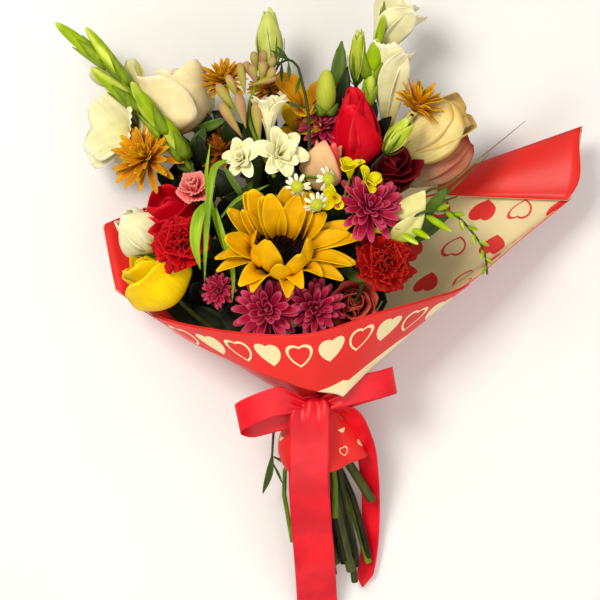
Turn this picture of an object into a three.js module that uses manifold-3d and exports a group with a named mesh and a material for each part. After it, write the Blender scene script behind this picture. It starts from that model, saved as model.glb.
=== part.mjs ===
// A hand-tied mixed bouquet in printed wrapping paper with a satin ribbon, lying on its back.
// Millimetres, +Z up. +Y runs from the cut stems towards the blooms, +X is right seen from above.
import * as THREE from "three";
import { mergeVertices } from "three/addons/utils/BufferGeometryUtils.js";
import Module from "manifold-3d";

const wasm = await Module();
wasm.setup();

const vec = (x, y, z) => new THREE.Vector3(x, y, z);
const lerp = (a, b, t) => a + (b - a) * t;
const degrees = THREE.MathUtils.degToRad;

// Driving dimensions
const footprintCentre = vec(20, -21.5, 0); // middle of the outline on the table, in the layout below
const clearance = 0.4; // gap kept between pieces that touch
const tie = vec(11, -89, 62); // middle of the binding
const headsMiddle = vec(-25, 96, 105); // middle of the flower heads
const endsMiddle = vec(50, -256, 27); // middle of the cut ends
const paperThick = 1;
const throatRadius = 24.5; // paper, at the binding
const bundleRadius = 22; // the bound stems
const stemSpread = 13; // how far from the middle of the binding a stem passes
const sprayRadius = 19.6; // how far out the two gladiolus stems pass it
const sprayStemRadius = 2.4;
const ribbonWidth = 36;

const axis = headsMiddle.clone().sub(tie).normalize();
const right = axis.clone().cross(vec(0, 0, 1)).normalize();
const front = right.clone().cross(axis);

// Repeatable random numbers
function seeded(seed) {
  let state = seed;
  return () => {
    state = (state * 1664525 + 1013904223) % 4294967296;
    return state / 4294967296;
  };
}
const random = seeded(11);

// ---------- solids ----------

function solidOf(geometry, matrix) {
  const bare = geometry.clone();
  bare.deleteAttribute("normal");
  bare.deleteAttribute("uv");
  if (matrix) bare.applyMatrix4(matrix);
  const merged = mergeVertices(bare, 1e-3);
  const corners = [];
  const index = merged.index.array;
  for (let i = 0; i < index.length; i += 3) {
    const [a, b, c] = [index[i], index[i + 1], index[i + 2]];
    if (a !== b && b !== c && c !== a) corners.push(a, b, c);
  }
  const vertProperties = merged.attributes.position.array;
  const make = (list) =>
    new wasm.Manifold(
      new wasm.Mesh({ numProp: 3, vertProperties, triVerts: new Uint32Array(list) }),
    );
  const made = make(corners);
  return made.volume() < 0 ? make(corners.reverse()) : made;
}

// Joins solids into one body and drops loose scraps.
function fuse(solids) {
  const joined = wasm.Manifold.union(solids);
  return joined.decompose().sort((a, b) => b.volume() - a.volume())[0];
}

function geometryOf(solid) {
  const { vertProperties, triVerts, numProp, numVert } = solid.getMesh();
  const places = new Float32Array(numVert * 3);
  for (let i = 0; i < numVert; i++)
    places.set(vertProperties.subarray(i * numProp, i * numProp + 3), i * 3);
  const geometry = new THREE.BufferGeometry()
    .setAttribute("position", new THREE.BufferAttribute(places, 3))
    .setIndex(new THREE.BufferAttribute(triVerts, 1));
  geometry.computeVertexNormals();
  return geometry;
}

// Stands a bloom's own +Z along face, with its origin at base.
function facing(base, face) {
  const turn = new THREE.Quaternion().setFromUnitVectors(vec(0, 0, 1), face);
  return new THREE.Matrix4().compose(base, turn, vec(1, 1, 1));
}

// ---------- blades, shells and rods ----------

// A petal, leaf or sepal along +Y from its root, its face up: a shallow wedge across, cupped and arched.
function blade(shape) {
  const { length, width, thick = 1.3, steps = 2 } = shape;
  const { root = 0.3, widest = 0.6, blunt = 2, cup = 0, arch = 0 } = shape;
  const geometry = new THREE.ConeGeometry(1, 1, 3, steps);
  const places = geometry.attributes.position;
  for (let i = 0; i < places.count; i++) {
    const toTip = 0.5 - places.getY(i);
    const isTip = toTip < 1e-6;
    const x = isTip ? 0 : places.getX(i) / toTip / Math.sin(Math.PI / 3);
    const z = isTip ? 0 : places.getZ(i) / toTip;
    const t = 1 - Math.pow(toTip, 1.35);
    const half = isTip
      ? 0
      : t < widest
        ? root + (1 - root) * Math.sin(((Math.PI / 2) * t) / widest)
        : Math.sqrt(1 - Math.pow((t - widest) / (1 - widest), blunt));
    const across = (x * half * width) / 2;
    const lift = (cup * half * width * x * x) / 2 + (z * thick) / 2;
    const bend = arch * t;
    const radius = length / (arch || 1);
    const along = arch ? radius * Math.sin(bend) - lift * Math.sin(bend) : length * t;
    const rise = arch ? radius * (1 - Math.cos(bend)) + lift * Math.cos(bend) : lift;
    places.setXYZ(i, across, along, rise);
  }
  return geometry;
}

// A ring of blades round +Z. tilt lifts them from flat, in degrees; vary loosens them.
function ring(count, shape, { radius = 1, height = 0, tilt = 0, spin = 0, vary = 0 }) {
  const made = [];
  for (let i = 0; i < count; i++) {
    const wobble = vary * (random() - 0.5);
    const place = new THREE.Matrix4()
      .makeRotationZ(degrees(spin + (360 * i) / count + wobble * 0.4))
      .multiply(new THREE.Matrix4().makeTranslation(0, radius, height))
      .multiply(new THREE.Matrix4().makeRotationX(degrees(tilt + wobble)));
    made.push(solidOf(blade(shape), place));
  }
  return made;
}

// A closed round body from a profile of [radius, height] pairs that starts and ends on the axis.
function turned(profile, sides, matrix) {
  const points = profile.map(([r, h]) => new THREE.Vector2(r, h));
  return solidOf(new THREE.LatheGeometry(points, sides).rotateX(Math.PI / 2), matrix);
}

// A rod that bends smoothly at points: each span between them has the same number of steps.
function rod(points, radius, sides = 3, perSpan = 1) {
  const path = new THREE.CatmullRomCurve3(points, false, "centripetal");
  path.getUtoTmapping = (share) => share;
  const steps = (points.length - 1) * perSpan;
  const outline = new THREE.Shape();
  for (let i = 0; i < sides; i++) {
    const angle = (i / sides) * Math.PI * 2;
    const corner = [Math.cos(angle) * radius, Math.sin(angle) * radius];
    if (i) outline.lineTo(...corner);
    else outline.moveTo(...corner);
  }
  outline.closePath();
  const options = { steps, extrudePath: path, bevelEnabled: false };
  return solidOf(new THREE.ExtrudeGeometry(outline, options));
}

// A blade laid from one point to another, face turned towards up.
function bladeBetween(from, to, shape, up = front) {
  const along = to.clone().sub(from);
  const length = along.length();
  along.normalize();
  const across = along.clone().cross(up).normalize();
  const place = new THREE.Matrix4().makeBasis(across, along, across.clone().cross(along));
  return solidOf(blade({ ...shape, length }), place.setPosition(from));
}

// A thin sheet: place(u, v, out) gives a point, out being the signed half thickness.
function panel(across, up, thick, place) {
  const geometry = new THREE.BoxGeometry(1, 1, 1, across, up, 1);
  const places = geometry.attributes.position;
  for (let i = 0; i < places.count; i++) {
    const spot = place(places.getX(i) + 0.5, places.getY(i) + 0.5, places.getZ(i) * thick);
    places.setXYZ(i, spot.x, spot.y, spot.z);
  }
  return solidOf(geometry);
}

// ---------- blooms: each stands on its base at the origin and opens along +Z ----------

// One closed surface turned round +Z and folded into layers of petals, outermost first.
// A layer has edge, its rim, and floor, the groove inside it, as [radius, height]; belly, where its
// outside bulges; petals, how many; notch, how deep they are cut; and shift, in columns.
function layered({ columns, layers, top, foot = 0, thick = 1.1 }) {
  const rows = foot ? [{ at: [foot, 0] }] : [];
  for (const layer of layers) {
    if (layer.belly) rows.push({ at: layer.belly });
    rows.push({ at: layer.edge, layer, raise: 0 }, { at: layer.edge, layer, raise: thick });
    if (layer.floor) rows.push({ at: layer.floor });
  }
  const profile = [new THREE.Vector2(0, 0)];
  rows.forEach((row, i) => profile.push(new THREE.Vector2(1, i + 1)));
  profile.push(new THREE.Vector2(0, rows.length + 1));
  const geometry = new THREE.LatheGeometry(profile, columns);
  const places = geometry.attributes.position;
  for (let i = 0; i < places.count; i++) {
    const angle = Math.atan2(places.getX(i), places.getZ(i));
    const column = (Math.round((angle / (2 * Math.PI)) * columns) + columns) % columns;
    const step = Math.round(places.getY(i));
    if (step === 0 || step > rows.length) {
      places.setXYZ(i, 0, 0, step ? top : 0);
      continue;
    }
    const { at, layer, raise = 0 } = rows[step - 1];
    let [r, h] = at;
    if (layer) {
      const { petals, notch = 0.5, shift = 0, wave = 0, belly, floor = [0, h] } = layer;
      const perPetal = columns / petals;
      const phase = ((column + shift) % perPetal) / perPetal;
      const [inner, low] = belly || floor;
      const back = phase === 0 ? notch : 0.5 * notch * Math.pow(Math.abs(2 * phase - 1), 3);
      r = lerp(r, inner, back) - raise * 0.4;
      h = lerp(h, low, back) + raise + wave * Math.sin(3 * angle + shift);
    }
    places.setXYZ(i, r * Math.sin(angle), r * Math.cos(angle), h);
  }
  return solidOf(geometry);
}

function rose({ size, height: h, open = 0.6 }) {
  const r = size / 2;
  const outer = { petals: 5, notch: 0.55, belly: [r * 0.86, h * 0.34] };
  const middle = { petals: 5, notch: 0.3, shift: 1, edge: [r * 0.72, h * 0.93] };
  const inner = { petals: 3, notch: 0.3, shift: 2, edge: [r * 0.38, h] };
  return layered({
    columns: 15,
    foot: r * 0.3,
    layers: [
      { ...outer, edge: [r * lerp(0.84, 1.04, open), h * 0.86], floor: [r * 0.74, h * 0.46] },
      { ...middle, floor: [r * 0.42, h * 0.62] },
      { ...inner, floor: [r * 0.18, h * 0.74] },
    ],
    top: h * 0.9,
  });
}

// A rose that is still closed: petals wrapped round a pointed heart.
function roseBud({ size, height: h }) {
  const r = size / 2;
  return layered({
    columns: 12,
    foot: r * 0.3,
    layers: [
      { petals: 4, notch: 0.5, belly: [r, h * 0.36], edge: [r * 0.82, h * 0.86], floor: [r * 0.62, h * 0.6] },
      { petals: 3, notch: 0.3, shift: 1, edge: [r * 0.42, h * 0.97], floor: [r * 0.16, h * 0.84] },
    ],
    top: h,
  });
}

// Layers of narrow petals round a small button: [reach, rise] for each layer.
function mum({ size, petals = 10, layers = [[1, 0.1], [0.8, 0.42], [0.46, 0.56]] }) {
  const r = size / 2;
  return layered({
    columns: petals * 2,
    layers: layers.map(([reach, rise], i) => ({
      petals,
      shift: i,
      notch: 0.66,
      wave: 0.8,
      edge: [r * reach, 3 + r * rise],
      floor: [r * (0.32 - 0.09 * i), 3 + r * (0.16 + 0.1 * i)],
    })),
    top: 3 + r * 0.42,
  });
}

// Frilled layers over a narrow base, with a toothed and waved edge: [reach, rise] for each layer.
function carnation({ size, teeth = 9, layers = [[1, 0.15], [0.82, 0.5], [0.46, 0.72]] }) {
  const r = size / 2;
  const base = r * 0.4;
  return layered({
    columns: teeth * 2,
    foot: r * 0.2,
    layers: layers.map(([reach, rise], i) => ({
      petals: teeth,
      shift: i,
      notch: 0.2,
      wave: r * 0.09,
      belly: i ? null : [r * 0.3, base * 0.9],
      edge: [r * reach, base + r * rise],
      floor: [r * (0.5 - 0.16 * i), base + r * (0.22 + 0.14 * i)],
    })),
    top: base + r * 0.7,
  });
}

// A funnel that opens into petals, as on an alstroemeria, gladiolus, tuberose or freesia floret.
function trumpet({ size, depth, petals = 6, throat = 0.2, tube = 0.5, notch = 0.75, blunt = false }) {
  const r = size / 2;
  const mouth = [r * throat, depth * tube];
  const edge = [r, depth];
  return layered({
    columns: petals * (blunt ? 3 : 2),
    foot: r * throat * 0.5,
    layers: [{ petals, notch, belly: mouth, edge, floor: [r * throat * 0.8, depth * tube + 1.2] }],
    top: depth * tube + 0.4,
  });
}

// A deep cup of five broad petals.
function lisianthus({ size, height: h }) {
  const r = size / 2;
  const outer = { petals: 5, notch: 0.5, belly: [r * 0.66, h * 0.4], edge: [r, h] };
  const inner = { petals: 5, notch: 0.45, shift: 1, edge: [r * 0.74, h * 0.96] };
  return layered({
    columns: 15,
    foot: r * 0.25,
    layers: [
      { ...outer, floor: [r * 0.56, h * 0.5] },
      { ...inner, floor: [r * 0.34, h * 0.5] },
    ],
    top: h * 0.45,
  });
}

function pointedBud({ size, height }) {
  const r = size / 2;
  const profile = [[0, 0], [r * 0.6, 0], [r, height * 0.36], [r * 0.75, height * 0.7]];
  return turned([...profile, [0, height]], 6);
}

// ---------- where each bloom is ----------
// at is the middle of the bloom, face the way it opens, back the distance from its middle to its base,
// via, if any, where its stem bends round its neighbours, and branchOf the bloom whose stem it forks from.

const smallMum = { petals: 8, layers: [[1, 0.15], [0.66, 0.5]] };
const blooms = [
  // left side, from the rim of the paper upwards
  { name: "rose_yellow", at: [-130, 20, 122], face: [-0.66, 0.3, 0.68], back: 30, colour: "yellow",
    make: () => rose({ size: 62, height: 56, open: 0.9 }) },
  { name: "rose_white_bud", at: [-145, 63, 92], face: [-0.62, 0.62, 0.48], back: 24, colour: "white",
    make: () => roseBud({ size: 42, height: 48 }) },
  { name: "rose_red_left", at: [-106, 86, 105], face: [-0.42, 0.55, 0.72], back: 24, colour: "red",
    make: () => rose({ size: 48, height: 46 }) },
  { name: "carnation_red", at: [-92, 43, 152], face: [-0.25, 0.15, 0.95], back: 18, colour: "red",
    make: () => carnation({ size: 50 }) },
  { name: "carnation_pink", at: [-84, 97, 138], face: [-0.1, 0.45, 0.89], back: 12, colour: "pink",
    make: () => carnation({ size: 31, teeth: 8, layers: [[1, 0.2], [0.66, 0.66]] }) },
  { name: "mum_bronze_left", at: [-137, 126, 104], face: [-0.45, 0.3, 0.84], back: 5, colour: "bronze",
    make: () => mum({ size: 60 }) },
  { name: "rose_cream", at: [-103, 180, 88], face: [-0.12, 0.93, 0.35], back: 28, colour: "cream",
    make: () => rose({ size: 72, height: 58, open: 0.5 }) },
  // top
  { name: "mum_bronze_top", at: [-53, 207, 99], face: [-0.1, 0.7, 0.7], back: 5, colour: "bronze",
    branchOf: "mum_bronze_left", make: () => mum({ size: 40, ...smallMum }) },
  { name: "mum_bronze_shaded", at: [-67, 133, 84], face: [-0.2, 0.6, 0.77], back: 5, colour: "bronze",
    branchOf: "mum_bronze_left", make: () => mum({ size: 42, ...smallMum }) },
  { name: "mum_bronze_middle", at: [-9, 192, 78], face: [0, 0.8, 0.6], back: 5, colour: "bronze",
    make: () => mum({ size: 42, ...smallMum }) },
  { name: "alstroemeria_upper", at: [17, 184, 92], face: [0.15, 0.7, 0.7], back: 16, colour: "gold",
    make: () => trumpet({ size: 54, depth: 32, blunt: true }) },
  { name: "alstroemeria_lower", at: [15, 138, 112], face: [0.1, 0.2, 0.97], back: 15, colour: "yellow",
    make: () => trumpet({ size: 32, depth: 22, petals: 5 }) },
  { name: "mum_bronze_right", at: [99, 178, 118], face: [0.45, 0.6, 0.66], back: 5, colour: "bronze",
    via: [[66, 110, 74]], make: () => mum({ size: 42, ...smallMum }) },
  // middle
  { name: "rose_red_upright", at: [49, 146, 128], face: [-0.06, 0.95, 0.3], back: 34, colour: "red",
    make: () => roseBud({ size: 45, height: 70 }) },
  { name: "rose_two_tone", at: [22, 108, 132], face: [0.05, 0.88, 0.47], back: 20, colour: "dusty",
    make: () => roseBud({ size: 34, height: 44 }) },
  { name: "rose_burgundy", at: [88, 112, 106], face: [0.45, 0.55, 0.7], back: 24, colour: "burgundy",
    make: () => rose({ size: 50, height: 44 }) },
  { name: "mum_magenta_right", at: [64, 78, 154], face: [0.25, 0.3, 0.92], back: 5, colour: "magenta",
    via: [[34, 0, 78]], make: () => mum({ size: 58 }) },
  { name: "mum_magenta_upper", at: [33, 160, 58], face: [0.1, 0.6, 0.8], back: 5, colour: "magenta",
    branchOf: "mum_magenta_right", make: () => mum({ size: 38, ...smallMum }) },
  // along the front rim
  { name: "mum_magenta_front", at: [-14, -14, 138], face: [0, -0.1, 0.99], back: 5, colour: "magenta",
    make: () => mum({ size: 50, layers: [[1, 0.12], [0.7, 0.44]] }) },
  { name: "mum_magenta_low", at: [22, -6, 126], face: [0.15, -0.1, 0.98], back: 5, colour: "magenta",
    branchOf: "mum_magenta_front", make: () => mum({ size: 34, ...smallMum }) },
  { name: "mum_magenta_small", at: [-70, 8, 132], face: [-0.15, 0, 0.99], back: 4, colour: "magenta",
    branchOf: "mum_magenta_front", make: () => mum({ size: 32, ...smallMum }) },
  { name: "carnation_orange", at: [82, 26, 140], face: [0.35, 0.05, 0.93], back: 18, colour: "orange",
    via: [[76, -2, 80]], make: () => carnation({ size: 48 }) },
  { name: "rose_dusty", at: [57, -4, 110], face: [0.2, -0.1, 0.97], back: 22, colour: "dusty",
    make: () => roseBud({ size: 44, height: 42 }) },
  // right side
  { name: "lisianthus_cream", at: [132, 159, 92], face: [0.76, 0.6, 0.25], back: 30, colour: "cream",
    make: () => lisianthus({ size: 58, height: 56 }) },
  { name: "lisianthus_dusty", at: [130, 114, 62], face: [0.8, 0.55, 0.22], back: 26, colour: "dusty",
    make: () => trumpet({ size: 38, depth: 48, petals: 5, throat: 0.8, notch: 0.5, blunt: true }) },
  { name: "lisianthus_pale", at: [98, 66, 112], face: [0.75, 0.5, 0.43], back: 20, colour: "cream",
    make: () => trumpet({ size: 32, depth: 36, petals: 5, throat: 0.8, notch: 0.5, blunt: true }) },
  // closed buds
  { name: "lisianthus_bud_top", at: [-33, 236, 76], face: [-0.1, 0.98, 0.15], back: 24, colour: "white",
    make: () => pointedBud({ size: 25, height: 48 }) },
  { name: "lisianthus_bud_tall", at: [51, 214, 85], face: [0.05, 0.98, 0.15], back: 22, colour: "white",
    branchOf: "lisianthus_bud_top", make: () => pointedBud({ size: 17, height: 46 }) },
  { name: "lisianthus_bud_right", at: [92, 148, 142], face: [0.7, 0.65, 0.3], back: 17, colour: "cream",
    via: [[60, 92, 128]], make: () => pointedBud({ size: 20, height: 34 }) },
];

for (const bloom of blooms) {
  bloom.face = vec(...bloom.face).normalize();
  bloom.base = vec(...bloom.at).addScaledVector(bloom.face, -bloom.back);
}
const sunflower = { face: vec(0, 0.42, 0.91).normalize(), base: vec(-11, 38, 144) };

// ---------- colours ----------

const colours = {
  cream: "#efe2b4", white: "#f1ecdc", red: "#c3061c", burgundy: "#5a0713", yellow: "#e9bb05",
  gold: "#c98a08", bronze: "#b5680b", magenta: "#a3264e", pink: "#ee6c6c", dusty: "#b06a55",
  orange: "#c9240f", lime: "#8fb510", stem: "#3d4f1b", disc: "#1d0d06",
  paper: "#ef3b36", ribbon: "#e01228", twine: "#b9a06a",
};

const bouquet = new THREE.Group();

function add(name, solid, colour, roughness = 0.7) {
  const material = new THREE.MeshStandardMaterial({ color: colours[colour], roughness, metalness: 0 });
  const mesh = new THREE.Mesh(geometryOf(solid), material);
  mesh.name = name;
  bouquet.add(mesh);
}

for (const { name, base, face, colour, make } of blooms)
  add(name, make().transform(facing(base, face).elements), colour);

// ---------- sunflower ----------

{
  const place = facing(sunflower.base, sunflower.face).elements;
  const discRadius = 20;
  const plate = turned([[0, 0], [27, 0], [27, 3.5], [0, 3.5]], 12);
  const shape = { width: 17, steps: 2, root: 0.55, widest: 0.5, cup: 0.4, arch: 0.5 };
  const outer = ring(13, { ...shape, length: 40 }, { radius: 22, height: 1.5, tilt: 3, vary: 8 });
  const inner = ring(11, { ...shape, length: 35 },
    { radius: 23, height: 2.5, tilt: 30, spin: 14, vary: 8 });
  add("sunflower_petals", fuse([plate, ...outer, ...inner]).transform(place), "yellow");

  // The florets of the disc are a spiral relief over a shallow dome.
  const rings = 5;
  const points = [new THREE.Vector2(0, 3.9), new THREE.Vector2(discRadius, 3.9)];
  for (let i = rings; i >= 0; i--) {
    const t = i / rings;
    points.push(new THREE.Vector2(discRadius * t, 6.5 + 3 * (1 - t * t)));
  }
  const geometry = new THREE.LatheGeometry(points, 18).rotateX(Math.PI / 2);
  const places = geometry.attributes.position;
  for (let i = 0; i < places.count; i++) {
    const [x, y, z] = [places.getX(i), places.getY(i), places.getZ(i)];
    const r = Math.hypot(x, y);
    const relief = Math.sin(9 * Math.atan2(y, x) + r * 0.8);
    if (z > 6 && r > 1) places.setZ(i, z + 0.9 * relief);
  }
  add("sunflower_disc", solidOf(geometry).transform(place), "disc");
}

// ---------- sprays of small flowers ----------

function placed(solid, at, face) {
  return solid.transform(facing(vec(...at), vec(...face).normalize()).elements);
}

function spindle(from, to, width, thick = width * 0.7) {
  const shape = { width, thick, root: 0.5, widest: 0.4, blunt: 1.6 };
  return bladeBetween(vec(...from), vec(...to), shape);
}

const through = (points) => points.map((p) => vec(...p));

// Each spray's own lower end, which a stem carries: base and the way it points.
const sprayEnds = [];

// A tuberose over the middle
{
  const spine = [[-22, 106, 132], [-31, 128, 142], [-38, 162, 140], [-40, 200, 132]];
  sprayEnds.push({ base: vec(...spine[0]), face: vec(-0.3, 0.75, 0.6).normalize(), radius: 2 });
  const open = () => trumpet({ size: 40, depth: 24, throat: 0.22, tube: 0.6 });
  add("tuberose", fuse([
    rod(through(spine), 2.2, 4),
    placed(open(), [-32, 124, 141], [-0.6, -0.1, 0.8]),
    placed(open(), [-30, 126, 141], [0.45, 0, 0.9]),
    placed(open(), [-36, 158, 139], [0.55, 0.35, 0.75]),
    placed(open(), [-40, 194, 132], [0.1, 0.6, 0.8]),
    spindle([-38, 176, 138], [-64, 196, 142], 10),
    spindle([-36, 156, 140], [-66, 172, 144], 10),
    spindle([-34, 146, 140], [-60, 158, 147], 9),
  ]), "white");
}

// A freesia: a cluster of open florets, and a second stalk of buds that arches to the right
{
  const spine = [[40, 75, 132], [38, 86, 149], [40, 98, 160]];
  sprayEnds.push({ base: vec(...spine[0]), face: vec(0, 0.6, 0.8).normalize(), radius: 1.6 });
  const open = () => trumpet({ size: 26, depth: 19, throat: 0.28 });
  add("freesia_florets", fuse([
    rod(through(spine), 1.8, 4),
    placed(open(), [36, 84, 150], [-0.35, -0.1, 0.9]),
    placed(open(), [38, 94, 157], [0.3, 0.2, 0.9]),
    placed(open(), [39, 97, 159], [-0.3, 0.75, 0.6]),
  ]), "yellow");

  const arc = [[112, 44, 132], [112, 58, 148], [124, 76, 158], [144, 72, 154], [160, 36, 138]];
  sprayEnds.push({ base: vec(...arc[0]), face: vec(0.1, 0.5, 0.85).normalize(), radius: 1.4 });
  const path = new THREE.CatmullRomCurve3(through(arc), false, "centripetal");
  const buds = [rod(through(arc), 1.5, 3, 2)];
  for (let i = 0; i < 7; i++) {
    const t = Math.min(0.28 + 0.115 * i, 0.98);
    const root = path.getPointAt(t);
    const lean = path.getTangentAt(t).multiplyScalar(9 - 0.5 * i);
    const tip = root.clone().add(lean).addScaledVector(vec(0.2, 0.5, 0.8), 13 - 1.1 * i);
    buds.push(spindle(root.toArray(), tip.toArray(), 6 - 0.35 * i));
  }
  add("freesia_buds", fuse(buds), "lime");
}

// Feverfew: a few small daisies on thin stalks
{
  const foot = vec(1, 106, 142);
  const up = vec(0, 0.5, 0.85).normalize();
  sprayEnds.push({ base: foot, face: up, radius: 1.3 });
  const heads = [[2, 98, 166], [16, 90, 172], [16, 107, 162]];
  const fork = foot.clone().addScaledVector(up, 2);
  const pieces = [turned([[0, 0], [1.7, 0], [1.7, 4], [0, 4]], 5, facing(foot, up))];
  for (const at of heads) {
    const head = vec(...at);
    const face = head.clone().sub(foot).normalize();
    const bend = fork.clone().lerp(head, 0.5).setZ(head.z - 8);
    pieces.push(rod([fork, bend, head.clone().addScaledVector(face, 3)], 1.1));
    const daisy = { petals: 7, notch: 0.5, edge: [8.5, 2.4], floor: [3.4, 2.6] };
    pieces.push(layered({ columns: 14, layers: [daisy], top: 5 }).transform(facing(head, face).elements));
  }
  add("feverfew", fuse(pieces), "white");
}

// ---------- stems ----------

// A point on a circle square to the axis. u starts at the front and runs by the right.
function roundPoint(middle, radius, u, along = 0) {
  const angle = u * Math.PI * 2;
  return middle.clone()
    .addScaledVector(right, radius * Math.sin(angle))
    .addScaledVector(front, radius * Math.cos(angle))
    .addScaledVector(axis, along);
}

// The two gladioli pass round the outside of the bundle. Turns are measured from the front by the
// right, in degrees: one at the binding and one at the cut end.
const sprays = {
  left: { turns: [248, 190], spine: [[-72, 52, 50], [-124, 134, 54], [-150, 182, 64], [-176, 214, 70]] },
  right: {
    turns: [170, 130],
    spine: [[44, 60, 40], [58, 130, 58], [64, 190, 76], [74, 240, 88], [80, 256, 90]],
  },
};
function sprayStem({ turns, spine }, radius = sprayStemRadius) {
  const [atTie, atEnd] = turns;
  const foot = (along, turn = atTie, out = sprayRadius) => roundPoint(tie, out, turn / 360, along);
  const outward = (turn) => foot(0, turn, sprayRadius + 2).sub(tie);
  const end = outward(atEnd).add(endsMiddle).lerp(tie, 0.03);
  const half = outward((atTie + atEnd) / 2).add(tie.clone().lerp(endsMiddle, 0.55));
  return rod([end, half, foot(-20), foot(6), foot(24, atTie, sprayRadius + 4), ...through(spine)], radius, 4);
}

// Where a stem passes the binding: on the side that its bloom lies, inside a radius.
function atBinding(base, limit) {
  const reach = 45;
  const apex = tie.clone().addScaledVector(axis, -reach);
  const along = base.clone().sub(apex);
  const crossing = apex.addScaledVector(along, reach / along.dot(axis)).sub(tie);
  const off = crossing.length();
  return crossing.multiplyScalar((limit * Math.tanh(off / limit)) / off);
}

const bundleSwirl = 0.5; // how far the stems turn round each other below the binding, in radians
const stemShort = seeded(5);
function stemPoints(base, face, via = []) {
  const offset = atBinding(base, stemSpread);
  const low = offset.clone().multiplyScalar(1.25).applyAxisAngle(axis, bundleSwirl);
  const end = endsMiddle.clone().add(low).lerp(tie, 0.15 * stemShort());
  const under = tie.clone().add(offset).addScaledVector(axis, -16);
  const over = tie.clone().add(offset).addScaledVector(axis, 14);
  const before = base.clone().addScaledVector(face, -24);
  const bends = via.length ? through(via) : [over.clone().lerp(before, 0.5)];
  return [end, under, over, ...bends, before, base];
}

// The stems are pressed together where they are bound, with grooves for the two gladioli.
const boundHalf = 12;
const boundPlace = new THREE.Matrix4().makeBasis(right, front, axis).setPosition(tie);
const boundProfile = [[0, -boundHalf], [bundleRadius - 2, -boundHalf], [bundleRadius, 0]];
const bound = turned([...boundProfile, [bundleRadius - 2, boundHalf], [0, boundHalf]], 12, boundPlace);
const grooves = Object.values(sprays).map((spray) => sprayStem(spray, sprayStemRadius + clearance));

const stems = [bound.subtract(wasm.Manifold.union(grooves))];
for (const { name, base, face, via, branchOf } of [...blooms, { name: "sunflower", ...sunflower }]) {
  const isSunflower = name === "sunflower";
  const isRose = name.startsWith("rose");
  const radius = isSunflower ? 4.2 : isRose ? 2.8 : 2.1;
  const top = base.clone().addScaledVector(face, -clearance);
  const path = stemPoints(top, face, via);
  const parent = blooms.find((bloom) => bloom.name === branchOf);
  if (parent) path.splice(0, 4, stemPoints(parent.base, parent.face, parent.via)[3]);
  stems.push(rod(path, radius));
  const wide = isSunflower ? 14 : isRose ? 7 : 4.5;
  const deep = isSunflower ? 9 : 8;
  const calyx = facing(top.clone().addScaledVector(face, -deep), face).elements;
  stems.push(turned([[0, 0], [wide, deep], [0, deep]], isSunflower ? 8 : 4).transform(calyx));
  if (!["rose_cream", "rose_white_bud"].includes(name)) continue;
  const shape = { length: 22, width: 7, root: 0.7, widest: 0.3 };
  for (const sepal of ring(5, shape, { radius: wide * 0.4, height: deep - 2, tilt: -18 }))
    stems.push(sepal.transform(calyx));
}
for (const { base, face, radius } of sprayEnds)
  stems.push(rod(stemPoints(base.clone().addScaledVector(face, -clearance), face), radius));

// Leaves inside and at the edge of the heads: root, tip and width
const leaves = [
  [[-60, 40, 92], [-112, 58, 126], 20],
  [[-40, 90, 88], [-44, 168, 112], 20],
  [[22, 112, 62], [10, 172, 56], 17],
  [[76, 48, 80], [132, 74, 86], 17],
];
for (const [from, to, width] of leaves) {
  const [root, tip] = [vec(...from), vec(...to)];
  stems.push(bladeBetween(root, tip, { width, steps: 3, root: 0.15, widest: 0.45 }));
  const offset = atBinding(root, stemSpread);
  const over = tie.clone().add(offset).addScaledVector(axis, 14);
  const into = root.clone().lerp(tip, 0.06);
  stems.push(rod([tie.clone().add(offset), over, over.clone().lerp(root, 0.6), into], 1.5));
}

// Long grass that fans out at the right and stands up at the left
const grasses = [
  [[70, 40, 78], [108, 92, 80], [132, 122, 112], [152, 146, 142], [196, 166, 138]],
  [[70, 40, 78], [114, 96, 92], [146, 102, 100], [172, 128, 102], [196, 158, 92]],
  [[-48, 30, 100], [-64, 60, 122], [-66, 70, 140], [-64, 100, 152], [-68, 124, 146]],
];
for (const points of grasses) {
  const blades = through(points);
  const offset = atBinding(blades[0], stemSpread);
  const over = tie.clone().add(offset).addScaledVector(axis, 14);
  stems.push(rod([tie.clone().add(offset), over, ...blades], 1.2));
}
add("stems_and_leaves", fuse(stems), "stem");

// ---------- paper ----------

// Rim of the paper, from the front round by the right: the corners stand out at the right and the left.
const rim = through([
  [8, -28, 163], [64, -11, 150], [113, 2, 120], [149, 15, 94], [200, 56, 72], [246, 92, 55],
  [258, 159, 48], [131, 116, 0], [0, 106, 0], [-122, 98, 0], [-180, 68, 48], [-166, 9, 72],
  [-122, -15, 106], [-55, -27, 146],
]);
const paperColumns = rim.length * 2;
const hemMiddle = tie.clone().lerp(endsMiddle, 0.37);
const hemRadius = 37;
const throatHalf = [-14, 12]; // how far the tight part reaches each way along the axis
const sag = 22; // how far the back drops below a straight line from binding to rim

function rimPoint(u) {
  const at = (((u % 1) + 1) % 1) * rim.length;
  const from = Math.floor(at);
  return rim[from].clone().lerp(rim[(from + 1) % rim.length], at - from);
}

// A point on the middle of the paper. v is -1 at the hem, 0 to 0.1 round the binding and 1 at the rim.
function paperPoint(u, v) {
  const [low, high] = throatHalf;
  const spot = roundPoint(tie, throatRadius, u, lerp(low, high, THREE.MathUtils.clamp(v / 0.1, 0, 1)));
  if (v < 0) {
    const pleat = 1 + 0.1 * Math.cos(u * Math.PI * 10);
    spot.lerp(roundPoint(hemMiddle, hemRadius * pleat, u), -v);
  }
  if (v > 0.1) {
    const t = (v - 0.1) / 0.9;
    const under = Math.max(0, -Math.cos(u * Math.PI * 2));
    spot.lerp(rimPoint(u), t);
    spot.z -= sag * Math.sin(Math.PI * t) * under;
  }
  spot.z = Math.max(spot.z, paperThick / 2);
  return spot;
}

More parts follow.
